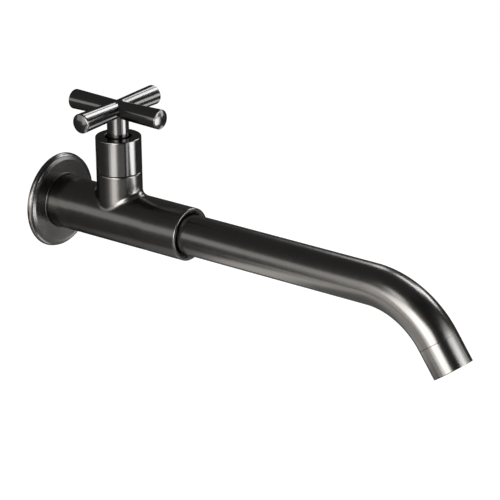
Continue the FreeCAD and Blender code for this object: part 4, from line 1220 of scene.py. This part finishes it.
# %% [markdown]
# ## Cross handle
# Four arms that widen slightly towards their ends meet in mitres, like the beams of a vault. Four
# rods joined by a boolean would leave thin slivers along those mitres. So each arm is a cone cut
# by the two diagonal planes: a ring of the cone starts where its distance along the arm equals
# its distance to the side.

# %% Four arms
ARM_ROOT_RADIUS = 5.35
ARM_TIP_RADIUS = 6.15
ARM_CROWN = 1.1
ARM_STEPS = 96
ARM_ROWS = 13
DOME_POINTS = 9
END_ROUNDING = 0.7
hub_height = cross_high.z / MM - ARM_TIP_RADIUS


def arm_grid(heading):
    """One arm along a heading, as a grid of (row along the arm, step round it, 3).

    The radius grows evenly from the root by the slope k. The start of the line at angle a is
    root * |sin a| / (1 - k * |sin a|) from the middle, which is the mitre. After the straight
    part come the rounded edge and the shallow dome of the end.
    """
    angle = np.linspace(0, 2 * np.pi, ARM_STEPS + 1)
    sideways = np.abs(np.sin(angle))
    rim_place = arm_length - ARM_CROWN
    dome_radius = (ARM_TIP_RADIUS ** 2 + ARM_CROWN ** 2) / (2 * ARM_CROWN)
    dome = bow((arm_length, 0), (rim_place, ARM_TIP_RADIUS), dome_radius, DOME_POINTS)[::-1]
    end = rounded([(0, ARM_TIP_RADIUS), (rim_place, ARM_TIP_RADIUS, END_ROUNDING), *dome[2:-1],
                   (arm_length, 0)], False)[1:]
    slope = (ARM_TIP_RADIUS - ARM_ROOT_RADIUS) / end[0, 0]
    start = ARM_ROOT_RADIUS * sideways / (1 - slope * sideways)
    share = np.linspace(0, 1, ARM_ROWS)[:, None]
    along = start + share * (end[0, 0] - start)
    radius = ARM_ROOT_RADIUS + slope * along
    end_along, end_radius = [end[1:, column][:, None] + 0 * angle for column in (0, 1)]
    along, radius = np.concatenate([along, end_along]), np.concatenate([radius, end_radius])
    forward = np.array([math.cos(heading), math.sin(heading), 0.0])
    side = np.array([-math.sin(heading), math.cos(heading), 0.0])
    aside, above = radius * np.sin(angle), radius * np.cos(angle)
    points = along[..., None] * forward + aside[..., None] * side + above[..., None] * (0, 0, 1)
    return points + (0, tower_place, hub_height)


arms = weld("cross_shell", [arm_grid(turn * math.pi / 2) for turn in range(4)])

# %% Neck and grub screw hole
NECK_STEPS = 96
NECK_TOP = hub_height - 1.8
BUSH_RADIUS = 5.3
BUSH_TOP = neck_foot + 12
SCREW_HOLE_START = 3.4
SCREW_HOLE_LENGTH = 6.0

neck_outline = rounded([(BUSH_TOP, 0), (BUSH_TOP, BUSH_RADIUS), (neck_foot, BUSH_RADIUS, 0.1),
                        (neck_foot, NECK_RADIUS, 0.4), (NECK_TOP, NECK_RADIUS, 0.3),
                        (NECK_TOP, 0)], False)
neck = weld("neck_shell", [turned(neck_outline, *UPRIGHT, NECK_STEPS)])
cross_mesh = combine(arms, neck, "UNION")
screw_low, screw_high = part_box("handle_screw")
screw_level = (screw_low.z + screw_high.z) / 2 / MM
screw_radius = screw_high.x / MM + HOLE_ROOM
hole = rod("screw_hole", (0, tower_place + SCREW_HOLE_START, screw_level), (0, 1, 0), (1, 0, 0),
           screw_radius, SCREW_HOLE_LENGTH)
cross_mesh = combine(cross_mesh, hole, "DIFFERENCE")

# %% The cross's brush lines
spots = coordinates(cross_mesh) - (0, tower_place, hub_height)
arm_along = np.maximum(np.abs(spots[:, 0]), np.abs(spots[:, 1]))
arm_aside = np.minimum(np.abs(spots[:, 0]), np.abs(spots[:, 1]))
arm_grain = arm_along + FACE_SLOPE * np.hypot(arm_aside, spots[:, 2])
on_neck = spots[:, 2] < -ARM_TIP_RADIUS
neck_grain = spots[:, 2] + FACE_SLOPE * np.hypot(spots[:, 0], spots[:, 1])
set_grain(cross_mesh, np.where(on_neck, neck_grain, arm_grain),
          np.where(on_neck, spots[:, 0], arm_aside), np.where(on_neck, spots[:, 1], spots[:, 2]))
add_piece(cross_mesh, "handle", "cross_handle", dark_bright)

# %% [markdown]
# ## Spout tube
# A drawn tube, straight for most of its way and then bent down on one smooth arc. A curve with a
# round bevel would give it in two clicks, but without soft ends or brush lines. So the sweep is a
# circle carried along that path, outside and inside, and joined at both ends.

# %% Spout path
SPOUT_STRAIGHT_END = mouth - 135.0
BEND_RADIUS = 57.0
BEND_ANGLE = math.radians(55.0)
TUBE_END = 0.5


def spout_path(distance):
    """The place and the heading angle below the level at a distance along the tube's middle.

    The first part is straight. Then the angle grows with the distance divided by the bend's
    radius, up to the bend's angle, and the last short part is straight again.
    """
    straight = tube_rear - SPOUT_STRAIGHT_END
    angle = np.clip((distance - straight) / BEND_RADIUS, 0, BEND_ANGLE)
    before = np.minimum(distance, straight)
    beyond = np.maximum(distance - straight - BEND_RADIUS * BEND_ANGLE, 0)
    out = before + BEND_RADIUS * np.sin(angle) + beyond * np.cos(angle)
    down = BEND_RADIUS * (1 - np.cos(angle)) + beyond * np.sin(angle)
    return tube_rear - out, -down, angle


tube_length = tube_rear - SPOUT_STRAIGHT_END + BEND_RADIUS * BEND_ANGLE + TUBE_END
print("tube length", round(tube_length, 2))

# %% Spout tube
TUBE_WALL = 1.2
OUTLET_SEAM = 0.16
LONGEST_STEP = 1.6


def spout_grid(stations):
    """A grid of circles along the path, for stations of (distance, radius).

    Each circle stands square to the path. A step's angle gives, with its sine, the way to the
    side, and with its cosine the way upwards, which leans as the path is headed.
    """
    distance, radius = stations[:, 0][:, None], stations[:, 1][:, None]
    place, level, angle = spout_path(distance)
    swing = np.linspace(0, 2 * np.pi, TURN_STEPS + 1)[None, :]
    aside, upwards = radius * np.sin(swing), radius * np.cos(swing)
    return np.stack([aside, place - upwards * np.sin(angle), level + upwards * np.cos(angle)], -1)


def fine_stations(outline):
    """Adds stations so that no step along the tube is longer than the longest step."""
    pieces = []
    for start, finish in zip(outline[:-1], outline[1:]):
        count = max(int(np.ceil(np.abs(finish[0] - start[0]) / LONGEST_STEP)), 1)
        share = np.linspace(0, 1, count + 1)[:-1, None]
        pieces.append(start + share * (finish - start))
    pieces.append(outline[-1:])
    return np.concatenate(pieces)


tube_outline = rounded([(0, spout_radius, 0.3), (tube_length, spout_radius, OUTLET_SEAM),
                        (tube_length, spout_radius - TUBE_WALL, 0.1),
                        (0, spout_radius - TUBE_WALL, 0.2)])
tube_mesh = weld("spout_shell", [spout_grid(fine_stations(tube_outline))])

# %% The spout's brush lines
def spout_grain(mesh):
    """Across the lines is the way along the tube's middle line, found back from each point.

    Past the straight part, the angle about the bend's centre gives the way along, and the
    distance from that centre less the bend's radius gives the way upwards.
    """
    spots = coordinates(mesh)
    past = SPOUT_STRAIGHT_END - spots[:, 1]
    below = spots[:, 2] + BEND_RADIUS
    angle = np.clip(np.arctan2(past, below), 0, BEND_ANGLE)
    beyond = np.maximum(past - below * np.tan(BEND_ANGLE), 0) * np.cos(BEND_ANGLE)
    along = np.where(past > 0, angle * BEND_RADIUS + beyond, past)
    upwards = np.where(past > 0, np.hypot(past, below) - BEND_RADIUS, spots[:, 2])
    across = along + FACE_SLOPE * np.hypot(spots[:, 0], upwards)
    set_grain(mesh, across, spots[:, 0], upwards)


spout_grain(tube_mesh)
add_piece(tube_mesh, "spout", "spout_tube", dark_satin)

# %% [markdown]
# ## Outlet housing
# The flush end piece that holds the aerator. A longer tube with a line drawn round it would look
# alike, but the real one comes off. It is turned about the tube's lower end, so its way is found
# from the path: where the tube ends, and which way the water leaves.

# %% Outlet housing
HOUSING_LENGTH = 18.4
HOUSING_WALL = 1.5
SPIGOT_START = -3.0
SPIGOT_OUTER = spout_radius - TUBE_WALL - 0.12
AERATOR_HOLE = spout_radius - HOUSING_WALL + 0.05
AERATOR_SEAT = 8.0
SEAT_RADIUS = spout_radius - HOUSING_WALL - 1.8
end_place, end_level, end_angle = [float(value) for value in spout_path(np.array(tube_length))]
OUTLET = ((0, end_place, end_level), (0, -math.cos(end_angle), -math.sin(end_angle)), (1, 0, 0))

turn_piece("outlet_housing", [
    (SPIGOT_START, SEAT_RADIUS, 0.1),
    (SPIGOT_START, SPIGOT_OUTER, 0.3),
    (0, SPIGOT_OUTER),
    (0, spout_radius, OUTLET_SEAM),
    (HOUSING_LENGTH, spout_radius, 0.35),
    (HOUSING_LENGTH, AERATOR_HOLE, 0.3),
    (AERATOR_SEAT, AERATOR_HOLE, 0.1),
    (AERATOR_SEAT, SEAT_RADIUS, 0.1),
], OUTLET, "spout", dark_satin)
print("outlet at", round(end_place, 2), round(end_level, 2))

# %% [markdown]
# ## Every solid gets its finish
# The table names each solid's finish. A solid that a shell stands for is hidden and could do
# without, but it keeps one as well, because it is still there when the tap is taken apart.

# %% Finish the solids
FINISHES = {
    "inlet_nipple": brass_lying, "spout_tail": brass_lying,
    "headwork_shell": brass_upright, "spindle": brass_upright, "stop_ring": brass_upright,
    "handle_screw": steel_upright, "spindle_circlip": steel_upright,
    "spout_lock_screw": steel_lying, "inlet_strainer": steel_lying,
    "fixed_disc": ceramic, "moving_disc": ceramic,
    "inlet_washer": rubber, "flange_o_ring": rubber, "seat_seal": rubber,
    "spindle_o_ring_lower": rubber, "spindle_o_ring_upper": rubber,
    "spout_o_ring_rear": rubber, "spout_o_ring_front": rubber, "aerator_washer": rubber,
    "flange_gasket": foam, "aerator_shell": grey_plastic,
    "headwork_washer": white_plastic, "spindle_washer": white_plastic, "handle_bush": white_plastic,
    "spout_slip_ring_rear": white_plastic, "spout_slip_ring_front": white_plastic,
    "aerator_insert": white_plastic,
    "valve_body": brass_lying, "wall_flange": brass_lying, "spout_tube": brass_lying,
    "outlet_housing": brass_lying, "bonnet_sleeve": brass_upright, "cross_handle": brass_upright,
}
for name, node in nodes.items():
    node.data.materials.clear()
    node.data.materials.append(FINISHES[name])
print("finished nodes", len(FINISHES))
